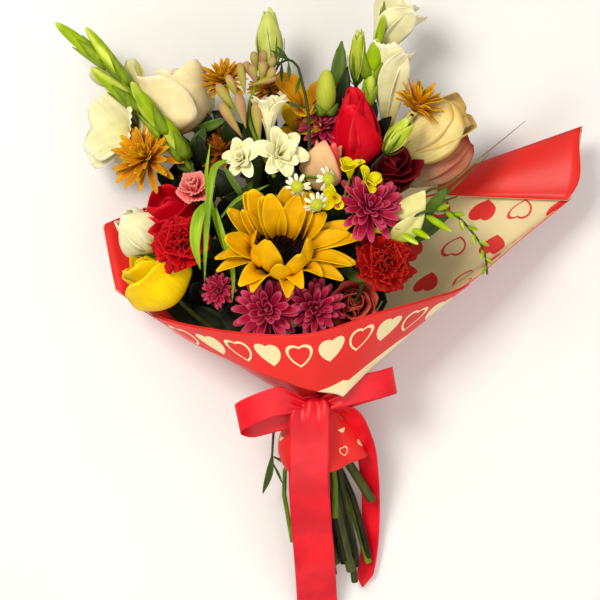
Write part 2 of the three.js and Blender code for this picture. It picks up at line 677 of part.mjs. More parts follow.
function paperNormal(u, v) {
  const step = 0.5 / paperColumns;
  const alongU = paperPoint(u + step, v).sub(paperPoint(u - step, v));
  const lower = v > 0.1 ? Math.max(v - 0.05, 0.1) : v - 0.05;
  const alongV = paperPoint(u, Math.min(v + 0.05, 1)).sub(paperPoint(u, lower));
  const out = alongU.cross(alongV).normalize();
  if (paperPoint(u, v).z < paperThick) out.set(0, 0, -1);
  return out;
}

function paperBody() {
  const rows = [-1, -0.5, 0, 0.1, 0.4, 0.7, 1];
  const outside = rows.map((v, i) => new THREE.Vector2(11, i));
  const inside = rows.map((v, i) => new THREE.Vector2(9, i)).reverse();
  const profile = [...outside, ...inside, outside[0].clone()];
  const geometry = new THREE.LatheGeometry(profile, paperColumns);
  const places = geometry.attributes.position;
  for (let i = 0; i < places.count; i++) {
    const [x, y, z] = [places.getX(i), places.getY(i), places.getZ(i)];
    const u = Math.atan2(x, z) / (Math.PI * 2);
    const side = Math.hypot(x, z) > 10 ? 0.5 : -0.5;
    const v = rows[Math.round(y)];
    const spot = paperPoint(u, v).addScaledVector(paperNormal(u, v), side * paperThick);
    places.setXYZ(i, spot.x, spot.y, spot.z);
  }
  return solidOf(geometry);
}

// The right corner's top edge is folded forward over the inner face.
const foldLine = through([[134, 117, 1.4], [257, 158.4, 48]]);
const foldEdge = through([[128, 98, 14], [240, 90, 62]]);
function foldPoint(u, s, out) {
  const spot = foldLine[0].clone().lerp(foldLine[1], u);
  spot.lerp(foldEdge[0].clone().lerp(foldEdge[1], u), s);
  return spot.addScaledVector(vec(-0.35, -0.05, 0.93), out);
}

add("wrapping_paper", fuse([paperBody(), panel(2, 1, paperThick, foldPoint)]), "paper", 0.5);

// The collar: a band outside the front of the paper, its upper edge at the rim and its lower edge free.
const collarSpan = [11.5 / rim.length - 1, 3 / rim.length];
const collarTip = 0.62; // where along the collar its lower edge is lowest
const collarStandOff = 22;

function collarPoint(along, s, out) {
  const u = lerp(...collarSpan, along);
  const width = along < collarTip ? along / collarTip : (1 - along) / (1 - collarTip);
  const v = lerp(lerp(0.9, 0.28, Math.pow(width, 0.75)), 1, s);
  const stand = paperThick + clearance + collarStandOff * width * Math.pow(1 - s, 1.2);
  return paperPoint(u, v).addScaledVector(paperNormal(u, v), stand + out);
}
add("wrapping_paper_collar", panel(11, 3, paperThick, collarPoint), "paper", 0.5);

// ---------- binding and ribbon ----------

function hoop(inner, outer, half, sides) {
  const profile = [[inner, -half], [outer, -half], [outer, half], [inner, half], [inner, -half]];
  return turned(profile, sides, new THREE.Matrix4().makeBasis(right, front, axis).setPosition(tie));
}
add("binding_twine", hoop(22.6, 23.4, 4, 16), "twine", 0.9);

// A strip of ribbon along a curve: across gives the way its width runs at each end.
function strip(points, across, width, steps) {
  const path = new THREE.CatmullRomCurve3(through(points), false, "centripetal");
  const [first, last] = through(across).map((way) => way.normalize());
  return panel(1, steps, 1, (x, t, out) => {
    const wide = first.clone().lerp(last, t).normalize();
    const normal = path.getTangent(t).cross(wide).normalize();
    const spot = path.getPoint(t).addScaledVector(wide, (x - 0.5) * lerp(...width, t));
    return spot.addScaledVector(normal, out);
  });
}

const knot = tie.clone().addScaledVector(front, 33.5);
const knotPlace = new THREE.Matrix4()
  .makeBasis(right, front.clone().multiplyScalar(0.5), axis)
  .setPosition(knot);
const [kx, ky, kz] = knot.toArray();
const leftLoop = [[kx, ky, kz], [-20, -92, kz + 15], [-54, -100, kz + 13], [-63, -104, kz],
  [-52, -103, kz - 12], [-20, -97, kz - 9], [kx, ky, kz]];
const rightLoop = [[kx, ky, kz], [44, -88, kz + 12], [78, -80, kz + 8], [90, -77, kz - 4],
  [80, -79, kz - 14], [46, -86, kz - 8], [kx, ky, kz]];
const frontTail = [[kx, ky, kz], [4, -130, 103], [10, -165, 95], [12, -205, 76], [14, -240, 40],
  [15, -268, 15], [17, -300, 1.6], [19, -330, 1.2]];
const rightTail = [[kx, ky, kz], [44, -114, 92], [72, -146, 74], [84, -190, 44], [82, -232, 20],
  [73, -266, 9]];
add("satin_ribbon", fuse([
  hoop(25.9, 26.9, 11, 16),
  turned([[0, -13], [11, -11], [12, 0], [11, 11], [0, 13]], 8, knotPlace),
  strip(leftLoop, [[0.1, 1, 0], [0.1, 1, 0]], [28, 28], 9),
  strip(rightLoop, [[-0.1, 1, 0], [-0.1, 1, 0]], [30, 30], 9),
  strip(frontTail, [[1, 0.05, 0], [1, 0.05, 0]], [22, ribbonWidth], 9),
  strip(rightTail, [[0.8, 0.2, 0.6], [0.5, 0.15, 0.9]], [22, 18], 7),
]), "ribbon", 0.35);

// ---------- free sprays: each keeps its own stem down to its cut end ----------

// The short neck from a spike to the base of a floret
function pedicel(from, base, face) {
  const way = vec(...face).normalize();
  const back = (distance) => vec(...base).addScaledVector(way, -distance);
  return rod([vec(...from), back(6), back(clearance + 0.1)], 2, 4);
}

// Gladiolus with buds in two ranks, at the left
add("gladiolus_left", fuse([
  sprayStem(sprays.left),
  pedicel([-134, 160, 61], [-150, 162, 76], [-0.62, 0.05, 0.75]),
  pedicel([-124, 135, 54], [-142, 134, 46], [-0.85, -0.15, 0.1]),
  spindle([-172, 208, 69], [-218, 249, 76], 14),
  spindle([-158, 192, 67], [-190, 243, 72], 12),
  spindle([-143, 168, 63], [-190, 214, 72], 14),
  spindle([-128, 140, 56], [-146, 196, 72], 16),
  spindle([-122, 130, 54], [-130, 174, 64], 13),
]), "lime");

const wideFloret = (size) => trumpet({ size: size * 1.1, depth: size * 0.7, throat: 0.3, blunt: true });
add("gladiolus_left_floret_upper", placed(wideFloret(60), [-150, 162, 76], [-0.62, 0.05, 0.75]), "white");
add("gladiolus_left_floret_lower", placed(wideFloret(52), [-142, 134, 46], [-0.85, -0.15, 0.1]), "white");

// Gladiolus at the right
add("gladiolus_right", fuse([
  sprayStem(sprays.right),
  pedicel([73, 236, 87], [86, 238, 98], [0.6, 0.25, 0.7]),
  pedicel([64, 190, 76], [76, 194, 76], [0.9, 0.2, 0.3]),
  spindle([77, 248, 88], [86, 288, 94], 13),
  spindle([66, 196, 80], [72, 250, 96], 14),
  spindle([62, 168, 72], [70, 212, 92], 15),
]), "lime");
add("gladiolus_right_floret_upper", placed(wideFloret(54), [86, 238, 98], [0.6, 0.25, 0.7]), "white");
add("gladiolus_right_floret_lower", placed(wideFloret(46), [76, 194, 76], [0.9, 0.2, 0.3]), "white");

// ---------- put the layout on the origin ----------

bouquet.position.copy(footprintCentre).negate();

export default bouquet;
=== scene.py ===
from functools import partial
import math
import random

import bmesh
import bpy
from mathutils import Matrix, Vector


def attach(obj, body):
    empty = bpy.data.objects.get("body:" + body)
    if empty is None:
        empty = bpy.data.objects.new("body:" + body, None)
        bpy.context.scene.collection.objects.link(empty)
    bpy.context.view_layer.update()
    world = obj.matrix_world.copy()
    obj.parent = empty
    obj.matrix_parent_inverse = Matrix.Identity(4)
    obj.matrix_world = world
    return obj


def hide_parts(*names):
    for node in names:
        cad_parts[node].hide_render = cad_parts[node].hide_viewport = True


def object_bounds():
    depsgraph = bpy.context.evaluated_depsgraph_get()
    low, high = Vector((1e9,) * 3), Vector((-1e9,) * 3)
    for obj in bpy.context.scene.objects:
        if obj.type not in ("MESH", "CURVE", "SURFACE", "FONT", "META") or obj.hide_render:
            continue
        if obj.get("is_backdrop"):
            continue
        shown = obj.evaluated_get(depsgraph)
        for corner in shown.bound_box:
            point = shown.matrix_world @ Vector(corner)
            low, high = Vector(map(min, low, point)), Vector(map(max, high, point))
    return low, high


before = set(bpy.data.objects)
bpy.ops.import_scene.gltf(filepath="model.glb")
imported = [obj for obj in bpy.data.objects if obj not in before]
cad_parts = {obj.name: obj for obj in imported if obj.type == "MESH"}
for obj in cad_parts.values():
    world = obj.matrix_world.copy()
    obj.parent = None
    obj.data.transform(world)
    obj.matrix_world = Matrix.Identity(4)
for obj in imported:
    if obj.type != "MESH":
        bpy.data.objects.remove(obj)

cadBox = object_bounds()
bpy.ops.object.select_all(action="DESELECT")
bpy.context.tool_settings.mesh_select_mode = (True, False, False)
dice = random.Random(7)
mm = 0.001
layoutMiddle = Vector((20, -21.5, 0))  # every place below is in mm, and the object's middle lies here


def spot(place):
    return (Vector(place) - layoutMiddle) * mm


# camera, light and floor

stage = {
    "cameraHeight": 1.5, "cameraOver": (0, 0, 0), "lens": 95.45, "clipStart": 0.05,
    "lamps": [
        # name, place in m, size in m, watts, colour
        ("key", (-0.6, 0.5, 1.5), 0.5, 20, (1.0, 0.95, 0.84)),
        ("fill", (0.8, -0.2, 1.3), 1.0, 4, (1.0, 0.96, 0.9)),
        ("front", (0.05, -0.9, 1.1), 0.8, 5, (1.0, 0.96, 0.88)),
    ],
    "lampAim": (0, 0.03, 0.08), "skyColour": (1.0, 0.975, 0.93, 1), "skyStrength": 0.5,
    "floorSize": 8, "floorDrop": 0.0006,
}


def buildStage():
    where = spot(stage["cameraOver"])
    bpy.ops.object.camera_add(location=(where.x, where.y, stage["cameraHeight"]), rotation=(0, 0, 0))
    lens = bpy.context.object
    lens.data.lens = stage["lens"]
    lens.data.clip_start = stage["clipStart"]
    bpy.context.scene.camera = lens
    for name, place, size, watts, colour in stage["lamps"]:
        turn = (Vector(stage["lampAim"]) - Vector(place)).to_track_quat("-Z", "Y").to_euler()
        bpy.ops.object.light_add(type="AREA", location=place, rotation=turn)
        lamp = bpy.context.object
        lamp.name = "light_" + name
        lamp.data.size, lamp.data.energy, lamp.data.color = size, watts, colour
    sky = bpy.context.scene.world or bpy.data.worlds.new("sky")
    bpy.context.scene.world = sky
    sky.use_nodes = True
    light = sky.node_tree.nodes["Background"].inputs
    light["Color"].default_value = stage["skyColour"]
    light["Strength"].default_value = stage["skyStrength"]
    bpy.ops.mesh.primitive_plane_add(size=stage["floorSize"], location=(0, 0, -stage["floorDrop"]))
    floor = bpy.context.object
    floor.name = "floor"
    floor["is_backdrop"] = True
    bpy.context.scene.view_settings.view_transform = "Standard"
    return floor


floor = buildStage()
print("stage ready")

# node helpers


def linear(code):
    parts = [int(code[i:i + 2], 16) / 255 for i in (1, 3, 5)]
    return tuple(c / 12.92 if c <= 0.04045 else ((c + 0.055) / 1.055) ** 2.4 for c in parts) + (1,)


def addNode(tree, kind, inputs=None, **settings):
    # an input that is a socket is linked, any other is set
    node = tree.nodes.new(kind)
    for key, value in settings.items():
        setattr(node, key, value)
    for key, value in (inputs or {}).items():
        if isinstance(value, bpy.types.NodeSocket):
            tree.links.new(value, node.inputs[key])
        else:
            node.inputs[key].default_value = value
    return node


def calc(tree, operation, *values, clamp=False):
    inputs = dict(enumerate(values))
    return addNode(tree, "ShaderNodeMath", inputs, operation=operation, use_clamp=clamp).outputs[0]


def ramp(tree, value, low, high, start=0.0, end=1.0):
    inputs = {"Value": value, "From Min": low, "From Max": high, "To Min": start, "To Max": end}
    return addNode(tree, "ShaderNodeMapRange", inputs, interpolation_type="SMOOTHSTEP").outputs[0]


def blendColour(tree, share, first, second, way="MIX"):
    inputs = {0: share, 6: first, 7: second}  # the Mix node's sockets for colours
    return addNode(tree, "ShaderNodeMix", inputs, data_type="RGBA", blend_type=way).outputs[2]


def noise(tree, place, scale, detail):
    return addNode(tree, "ShaderNodeTexNoise", {"Vector": place, "Scale": scale, "Detail": detail}).outputs[0]


def cellsOf(tree, place, scale):
    return addNode(tree, "ShaderNodeTexVoronoi", {"Vector": place, "Scale": scale}).outputs["Distance"]


def objectPlace(tree):
    return addNode(tree, "ShaderNodeTexCoord").outputs["Object"]


def ownMap(tree):
    return addNode(tree, "ShaderNodeUVMap", uv_map="UVMap").outputs[0]


def readAttribute(tree, name):
    return addNode(tree, "ShaderNodeAttribute", attribute_name=name).outputs["Fac"]


def splitVector(tree, vector):
    return addNode(tree, "ShaderNodeSeparateXYZ", {0: vector}).outputs


def newGroup(name, ins, outs):
    group = bpy.data.node_groups.new(name, "ShaderNodeTree")
    for socketName, kind, value in ins:
        socket = group.interface.new_socket(socketName, in_out="INPUT", socket_type="NodeSocket" + kind)
        if value is not None:
            socket.default_value = value
    for socketName, kind in outs:
        group.interface.new_socket(socketName, in_out="OUTPUT", socket_type="NodeSocket" + kind)
    return group, group.nodes.new("NodeGroupInput").outputs, group.nodes.new("NodeGroupOutput").inputs


def groupNode(tree, group, inputs):
    return addNode(tree, "ShaderNodeGroup", inputs, node_tree=group).outputs


def newMaterial(name, roughness, sheen=0.0, subsurface=0.0, specular=0.4):
    material = bpy.data.materials.new(name)
    material.use_nodes = True
    shader = material.node_tree.nodes["Principled BSDF"]
    values = {"Roughness": roughness, "Specular IOR Level": specular, "Sheen Weight": sheen}
    if subsurface:
        values.update({"Subsurface Weight": subsurface, "Subsurface Radius": (0.004, 0.002, 0.001),
                       "Subsurface Scale": 1})
    for key, value in values.items():
        shader.inputs[key].default_value = value
    return material, material.node_tree, shader


def finishLook(tree, shader, colour, height, strength, distance):
    tree.links.new(colour, shader.inputs["Base Color"])
    bump = addNode(tree, "ShaderNodeBump", {"Height": height, "Strength": strength, "Distance": distance})
    tree.links.new(bump.outputs["Normal"], shader.inputs["Normal"])


# shared effects


def makePetalSkin():
    ins = [("Root", "Color", None), ("Body", "Color", None), ("Edge", "Color", None),
           ("Root Reach", "Float", 0.4), ("Edge Width", "Float", 0.1), ("Veins", "Float", 0.3)]
    group, given, out = newGroup("petalSkin", ins, [("Color", "Color"), ("Height", "Float")])
    maths = partial(calc, group)
    uv = ownMap(group)
    across, along = splitVector(group, uv)[:2]
    mottle = noise(group, objectPlace(group), 90, 4)
    tone = readAttribute(group, "tone")
    stretched = addNode(group, "ShaderNodeMapping", {"Vector": uv, "Scale": (1, 0.22, 1)}).outputs[0]
    veins = addNode(group, "ShaderNodeTexWave",
                    {"Vector": stretched, "Scale": 5, "Distortion": 2.5, "Detail": 3, "Detail Scale": 2},
                    bands_direction="X").outputs[1]
    # the root's colour reaches up, the edge's colour lies along the rim, which the mottle makes uneven; on some
    # paints that edge colour is a painted highlight
    rootMask = ramp(group, along, 0.0, given["Root Reach"], 1, 0)
    side = maths("MULTIPLY", maths("ABSOLUTE", maths("SUBTRACT", across, 0.5)), 2)
    rim = maths("MAXIMUM", side, along)
    noisyRim = maths("ADD", rim, maths("MULTIPLY", maths("SUBTRACT", mottle, 0.5), 0.16))
    edgeMask = ramp(group, noisyRim, maths("SUBTRACT", 1.0, given["Edge Width"]), 1.02)
    colour = blendColour(group, rootMask, given["Body"], given["Root"])
    colour = blendColour(group, edgeMask, colour, given["Edge"])
    # the petal's tone (a random part and, on a bloom's inner rings, painted shade deep in the bloom), the mottle
    # and the veins darken it
    dim = maths("ADD", maths("MULTIPLY", tone, 0.5), maths("MULTIPLY", mottle, 0.5))
    dim = maths("SUBTRACT", maths("ADD", dim, 0.38),
                maths("MULTIPLY", maths("MULTIPLY", veins, given["Veins"]), 0.26))
    grey = addNode(group, "ShaderNodeCombineXYZ", {0: dim, 1: dim, 2: dim}).outputs[0]
    group.links.new(blendColour(group, 1.0, colour, grey, "MULTIPLY"), out["Color"])
    ribs = maths("MULTIPLY", veins, maths("MULTIPLY", given["Veins"], 0.5))
    group.links.new(maths("ADD", ribs, maths("MULTIPLY", mottle, 0.5)), out["Height"])
    return group


def makeGreenSkin():
    ins = [("Dark", "Color", None), ("Light", "Color", None), ("Grain", "Vector", (60, 60, 60))]
    group, given, out = newGroup("greenSkin", ins, [("Color", "Color"), ("Height", "Float")])
    maths = partial(calc, group)
    place = objectPlace(group)
    scaled = addNode(group, "ShaderNodeVectorMath", {0: place, 1: given["Grain"]}, operation="MULTIPLY")
    grain = noise(group, scaled.outputs[0], 1, 6)
    patch = noise(group, place, 22, 2)
    light = maths("ADD", grain, maths("ADD", patch, readAttribute(group, "tone")))
    share = ramp(group, maths("MULTIPLY", light, 0.34), 0.32, 0.72)
    group.links.new(blendColour(group, share, given["Dark"], given["Light"]), out["Color"])
    group.links.new(grain, out["Height"])
    return group


def makeHeartShape():
    # the curve (x^2 + y^2 - 1)^3 = x^2 y^3, filled
    ins = [("Vector", "Vector", None), ("Size", "Float", 1.0)]
    group, given, out = newGroup("heartShape", ins, [("Mask", "Float")])
    maths = partial(calc, group)
    scaled = addNode(group, "ShaderNodeVectorMath", {0: given["Vector"]}, operation="SCALE")
    group.links.new(maths("DIVIDE", 1.0, given["Size"]), scaled.inputs["Scale"])
    x, y = splitVector(group, scaled.outputs[0])[:2]
    squareX, squareY = maths("MULTIPLY", x, x), maths("MULTIPLY", y, y)
    circle = maths("SUBTRACT", maths("ADD", squareX, squareY), 1.0)
    cube = maths("MULTIPLY", maths("MULTIPLY", circle, circle), circle)
    lobes = maths("MULTIPLY", maths("MULTIPLY", squareX, squareY), y)
    group.links.new(maths("LESS_THAN", maths("SUBTRACT", cube, lobes), 0.0), out["Mask"])
    return group


def makeHeartPrint(heartShape):
    # rows of hearts, filled and in outline by turns, from a vector whose unit is one cell
    ins = [("Vector", "Vector", None), ("Heart Size", "Float", 0.3), ("Line", "Float", 0.8),
           ("Row Shift", "Float", 0.5), ("Row Ratio", "Float", 1.0)]
    group, given, out = newGroup("heartPrint", ins, [("Mask", "Float")])
    maths = partial(calc, group)
    parts = splitVector(group, given["Vector"])
    level = maths("DIVIDE", parts[1], given["Row Ratio"])
    row = maths("FLOOR", level)
    moved = maths("ADD", parts[0], maths("MULTIPLY", row, given["Row Shift"]))
    column = maths("FLOOR", moved)
    x = maths("SUBTRACT", maths("SUBTRACT", moved, column), 0.5)
    y = maths("MULTIPLY", maths("SUBTRACT", maths("SUBTRACT", level, row), 0.5), given["Row Ratio"])
    local = addNode(group, "ShaderNodeCombineXYZ", {0: x, 1: y}).outputs[0]
    whole = groupNode(group, heartShape, {"Vector": local, "Size": given["Heart Size"]})[0]
    inner = maths("MULTIPLY", given["Heart Size"], given["Line"])
    hollow = groupNode(group, heartShape, {"Vector": local, "Size": inner})[0]
    turn = maths("MODULO", maths("ABSOLUTE", maths("ADD", column, row)), 2.0)
    cut = maths("MULTIPLY", hollow, maths("GREATER_THAN", turn, 0.5))
    group.links.new(maths("SUBTRACT", whole, cut, clamp=True), out["Mask"])
    return group


petalSkin = makePetalSkin()
greenSkin = makeGreenSkin()
heartPrint = makeHeartPrint(makeHeartShape())

# petal and leaf finishes

petalPaints = {
    # name: root, body, edge, how far the root colour reaches, edge width, veins, roughness
    "yellow": ("#d89a00", "#f4ca00", "#f8dc10", 0.5, 0.1, 0.15, 0.5),
    "cream": ("#c09a3c", "#f0dca8", "#f2e4c0", 0.4, 0.12, 0.08, 0.6),
    "white": ("#d3d67e", "#efe8c8", "#f4efda", 0.5, 0.1, 0.06, 0.6),
    "ivory": ("#ccc552", "#ece6b4", "#f4eed6", 0.5, 0.12, 0.06, 0.6),
    "tuberose": ("#c8cf6a", "#efeab4", "#f6f2d2", 0.5, 0.1, 0.15, 0.5),
    "paleLime": ("#a4a838", "#d6d088", "#dcd8a0", 0.5, 0.12, 0.15, 0.5),
    "paleBud": ("#93a81e", "#d3dc6c", "#e4e9a2", 0.45, 0.12, 0.25, 0.45),
    "tallBud": ("#6f8a12", "#b4c62c", "#dbe07a", 0.5, 0.16, 0.35, 0.45),
    "red": ("#5a0008", "#c80019", "#e01428", 0.5, 0.12, 0.25, 0.42),
    "carnationRed": ("#7a0006", "#b80410", "#cf1420", 0.6, 0.1, 0.3, 0.6),
    "burgundy": ("#22020a", "#640410", "#7e101c", 0.5, 0.12, 0.3, 0.5),
    "bronze": ("#8f3a02", "#cc7406", "#e8ac14", 0.6, 0.4, 0.5, 0.55),
    # the bronze darkened as painted shade, for the mum that sits deep among the others
    "bronzeShaded": ("#4a1c04", "#96480a", "#b86a10", 0.6, 0.3, 0.5, 0.55),
    # its lighter edge colour is partly a painted highlight on the petals' rims
    "magenta": ("#62041c", "#b0143a", "#d44e6e", 0.55, 0.3, 0.6, 0.5),
    "pink": ("#d42c38", "#f46468", "#fa9c90", 0.5, 0.3, 0.25, 0.6),
    # its lighter edge colour is partly a painted highlight on the ruffled rims
    "orange": ("#4a0202", "#a20805", "#ba260f", 0.6, 0.06, 0.4, 0.55),
    # its lighter edge colour is partly a painted highlight on the petals' rims
    "dusty": ("#701410", "#c23a30", "#d8624e", 0.5, 0.2, 0.3, 0.5),
    "coral": ("#e8a078", "#ee464c", "#f46a60", 0.3, 0.15, 0.1, 0.5),
    "twoTone": ("#d8bc70", "#e6b888", "#ea8a74", 0.5, 0.16, 0.12, 0.5),
    "gold": ("#8a5200", "#d89404", "#e8ae14", 0.5, 0.15, 0.35, 0.5),
    "amber": ("#8a7000", "#d4aa04", "#e4c418", 0.5, 0.12, 0.35, 0.5),
    "lemon": ("#a8a000", "#e8d800", "#f2e626", 0.4, 0.1, 0.25, 0.5),
    # its lighter edge colour is partly a painted highlight on the rays
    "sunflower": ("#a35f00", "#eeb000", "#f4c808", 0.45, 0.12, 0.4, 0.55),
    "lisianthus": ("#8f9a25", "#ecd48a", "#dcae58", 0.5, 0.1, 0.3, 0.55),
    "lisianthusDusty": ("#c9b088", "#cc7a5c", "#a4463a", 0.7, 0.14, 0.6, 0.6),
    "tuberoseBud": ("#8da52a", "#aea44a", "#b98468", 0.5, 0.42, 0.2, 0.5),
    "greenBud": ("#7c8a1c", "#b2ba3c", "#c8cc78", 0.5, 0.12, 0.35, 0.45),
    "limeBud": ("#648802", "#94b204", "#d2dc5c", 0.5, 0.3, 0.3, 0.42),
}


def petalMaterial(name):
    root, body, edge, reach, edgeWidth, veins, roughness = petalPaints[name]
    material, tree, shader = newMaterial("petal_" + name, roughness, subsurface=0.06, specular=0.1)
    look = groupNode(tree, petalSkin, {
        "Root": linear(root), "Body": linear(body), "Edge": linear(edge),
        "Root Reach": reach, "Edge Width": edgeWidth, "Veins": veins})
    finishLook(tree, shader, look["Color"], look["Height"], 0.5, 0.0006)
    return material


greenPaints = {
    # name: dark, light, grain across and along in waves per metre, roughness
    # near-black green for leaves deep in the bouquet: dark foliage and, in part, painted shade
    "darkLeafAndShade": ("#0c1204", "#2a3a0c", (70, 70, 70), 0.55),
    "leafMid": ("#24380c", "#55701c", (90, 60, 90), 0.45),
    "grass": ("#4c7208", "#93b41e", (400, 30, 400), 0.4),
    "straw": ("#4a4a1c", "#7d7a3a", (400, 30, 400), 0.5),
    "stem": ("#141004", "#4a4e18", (300, 24, 300), 0.5),
    "stemLime": ("#4a6206", "#8ea612", (300, 30, 300), 0.45),
    "sprig": ("#1c2c08", "#45601a", (300, 60, 300), 0.5),
    "sepal": ("#2c4010", "#5d7a1c", (160, 60, 160), 0.5),
}


def greenMaterial(name):
    dark, light, grain, roughness = greenPaints[name]
    material, tree, shader = newMaterial("green_" + name, roughness, subsurface=0.04, specular=0.2)
    look = groupNode(tree, greenSkin, {"Dark": linear(dark), "Light": linear(light), "Grain": grain})
    finishLook(tree, shader, look["Color"], look["Height"], 0.4, 0.0006)
    return material


paints = {name: petalMaterial(name) for name in petalPaints}
paints.update({name: greenMaterial(name) for name in greenPaints})
print("finishes ready")

# making petals


def pick(piece, test):
    sheet = bmesh.from_edit_mesh(piece.data)
    for corner in sheet.verts:
        corner.select_set(test(corner))
    sheet.select_flush_mode()
    bmesh.update_edit_mesh(piece.data)


def addModifier(piece, kind, **settings):
    modifier = piece.modifiers.new(kind.lower(), kind)
    for key, value in settings.items():
        setattr(modifier, key, value)
    bpy.context.view_layer.objects.active = piece
    bpy.ops.object.modifier_apply(modifier=modifier.name)


def thicken(piece, thick, **settings):
    addModifier(piece, "SOLIDIFY", thickness=thick * mm, offset=0, **settings)
    bpy.ops.object.shade_smooth()


def rotation(degrees, about):
    return Matrix.Rotation(math.radians(degrees), 4, about)


def spineOf(length, pitch):
    points, step = [Vector((0, 0, 0))], length / (len(pitch) - 1)
    for before, after in zip(pitch, pitch[1:]):
        lean = math.radians((before + after) / 2)
        points.append(points[-1] + Vector((0, math.cos(lean), math.sin(lean))) * step)
    return points


def spread(values, count):
    # the same curve of values, read at count even steps
    if not isinstance(values, (list, tuple)):
        return [values] * count
    result = []
    for i in range(count):
        at = i / (count - 1) * (len(values) - 1)
        low = min(int(at), len(values) - 2)
        result.append(values[low] + (values[low + 1] - values[low]) * (at - low))
    return result


def shapePetal(name, kind, paint):
    # a flat grid, its columns lifted into a trough, its rows narrowed, tipped and laid along a curve
    rows, across = kind["rows"], kind["across"]
    outline, cup, pitch = (spread(kind[key], rows + 1) for key in ("outline", "cup", "pitch"))
    spine = spineOf(kind["length"] * mm, pitch)
    ruffle, ruffleFrom, thinnest = kind.get("ruffle", 0) * mm, 0.4, 0.0001
    bpy.ops.mesh.primitive_grid_add(x_subdivisions=across, y_subdivisions=rows, size=1, location=(0, 0, 0))
    petal = bpy.context.object
    petal.name = name
    bpy.ops.object.mode_set(mode="EDIT")
    for column in range(across + 1):
        side = column / across * 2 - 1
        trough = side * side - kind.get("crease", 0) * max(0, 0.5 - abs(side))
        pick(petal, lambda corner: corner.index % (across + 1) == column)
        bpy.ops.transform.translate(value=(0, 0, trough))
    for row in range(rows + 1):
        half = max(outline[row] * kind["width"] * mm / 2, thinnest)
        lean = math.radians(pitch[row])
        flatY = row / rows - 0.5
        middle = (0, flatY, 0)
        pick(petal, lambda corner: corner.index // (across + 1) == row)
        bpy.ops.transform.resize(value=(half * 2, 1, cup[row] * half), center_override=middle)
        bpy.ops.transform.rotate(value=-lean, orient_axis="X", center_override=middle)
        bpy.ops.transform.translate(value=(0, spine[row].y - flatY, spine[row].z))
        wave = ruffle * max(0, row / rows - ruffleFrom) / (1 - ruffleFrom)
        if wave:
            for odd in (0, 1):
                pick(petal, lambda corner: corner.index // (across + 1) == row
                     and corner.index % (across + 1) % 2 == odd)
                push = wave * (1 if odd else -1)
                bpy.ops.transform.translate(value=(0, -math.sin(lean) * push, math.cos(lean) * push))
    if kind.get("teeth"):
        lean, back = math.radians(pitch[rows]), kind["teeth"] * mm
        pick(petal, lambda corner: corner.index // (across + 1) == rows
             and corner.index % (across + 1) % 2 == 0)
        bpy.ops.transform.translate(value=(0, -math.cos(lean) * back, -math.sin(lean) * back))
    bpy.ops.object.mode_set(mode="OBJECT")
    if kind.get("smooth", 1):
        addModifier(petal, "SUBSURF", levels=1, render_levels=1)
    thicken(petal, kind.get("thick", 0.5))
    petal.data.materials.append(paints[paint])
    return petal


def copyOf(master, matrix, tone=0.5):
    mesh = master.data.copy()
    mesh.transform(matrix)
    if "tone" not in mesh.attributes:
        mesh.attributes.new("tone", "FLOAT", "POINT")
    mesh.attributes["tone"].data.foreach_set("value", [tone] * len(mesh.vertices))
    piece = bpy.data.objects.new(master.name, mesh)
    bpy.context.collection.objects.link(piece)
    return piece


def swapForCopy(piece, tone):
    # a fresh copy that carries its tone, in place of the piece
    fresh = copyOf(piece, Matrix(), tone)
    bpy.data.objects.remove(piece)
    return fresh


def joinPieces(name, parts, nodes):
    bpy.ops.object.select_all(action="DESELECT")
    for part in parts:
        part.select_set(True)
    bpy.context.view_layer.objects.active = parts[0]
    bpy.ops.object.join()
    whole = bpy.context.object
    bpy.ops.object.select_all(action="DESELECT")
    whole.name = name
    whole.data.name = name
    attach(whole, "root")
    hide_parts(*nodes)


masters = {}


def masterPetal(kindName, index, layer, paint):
    key = (kindName, index, paint)
    if key not in masters:
        masters[key] = shapePetal(f"master_{kindName}_{index}", layer, paint)
    return masters[key]


def turnTo(way):
    return Vector((0, 0, 1)).rotation_difference(Vector(way).normalized()).to_matrix().to_4x4()


def standing(base, face):
    return Matrix.Translation(spot(base)) @ turnTo(face)


def growBloom(kindName, paint, place, scale=1.0, spin=0.0):
    # rings of petals, each layer turned against the one below, every petal a little different
    parts = []
    for index, layer in enumerate(bloomKinds[kindName]):
        master = masterPetal(kindName, index, layer, layer.get("paint", paint))
        count, loose = layer["count"], layer.get("loose", 5)
        root = Vector((0, layer["radius"], layer["height"])) * mm * scale
        for i in range(count):
            turn = spin + layer.get("turn", 137.5 * index) + 360 * i / count + dice.uniform(-loose, loose)
            tip = dice.uniform(-loose, loose)
            grow = scale * dice.uniform(0.93, 1.05)
            matrix = (place @ rotation(turn, "Z") @ Matrix.Translation(root) @ rotation(tip, "X")
                      @ rotation(dice.uniform(-loose, loose), "Y") @ Matrix.Scale(grow, 4))
            # the ring's tone with a random part: on the inner rings it is painted shade
            parts.append(copyOf(master, matrix, layer["tone"] + dice.uniform(-0.12, 0.12)))
    return parts


# the kinds of bloom: rings of petals from the outside in, for a bloom of scale 1
# each ring's tone falls towards the heart, so the inner petals are painted darker: painted shade deep in the
# bloom

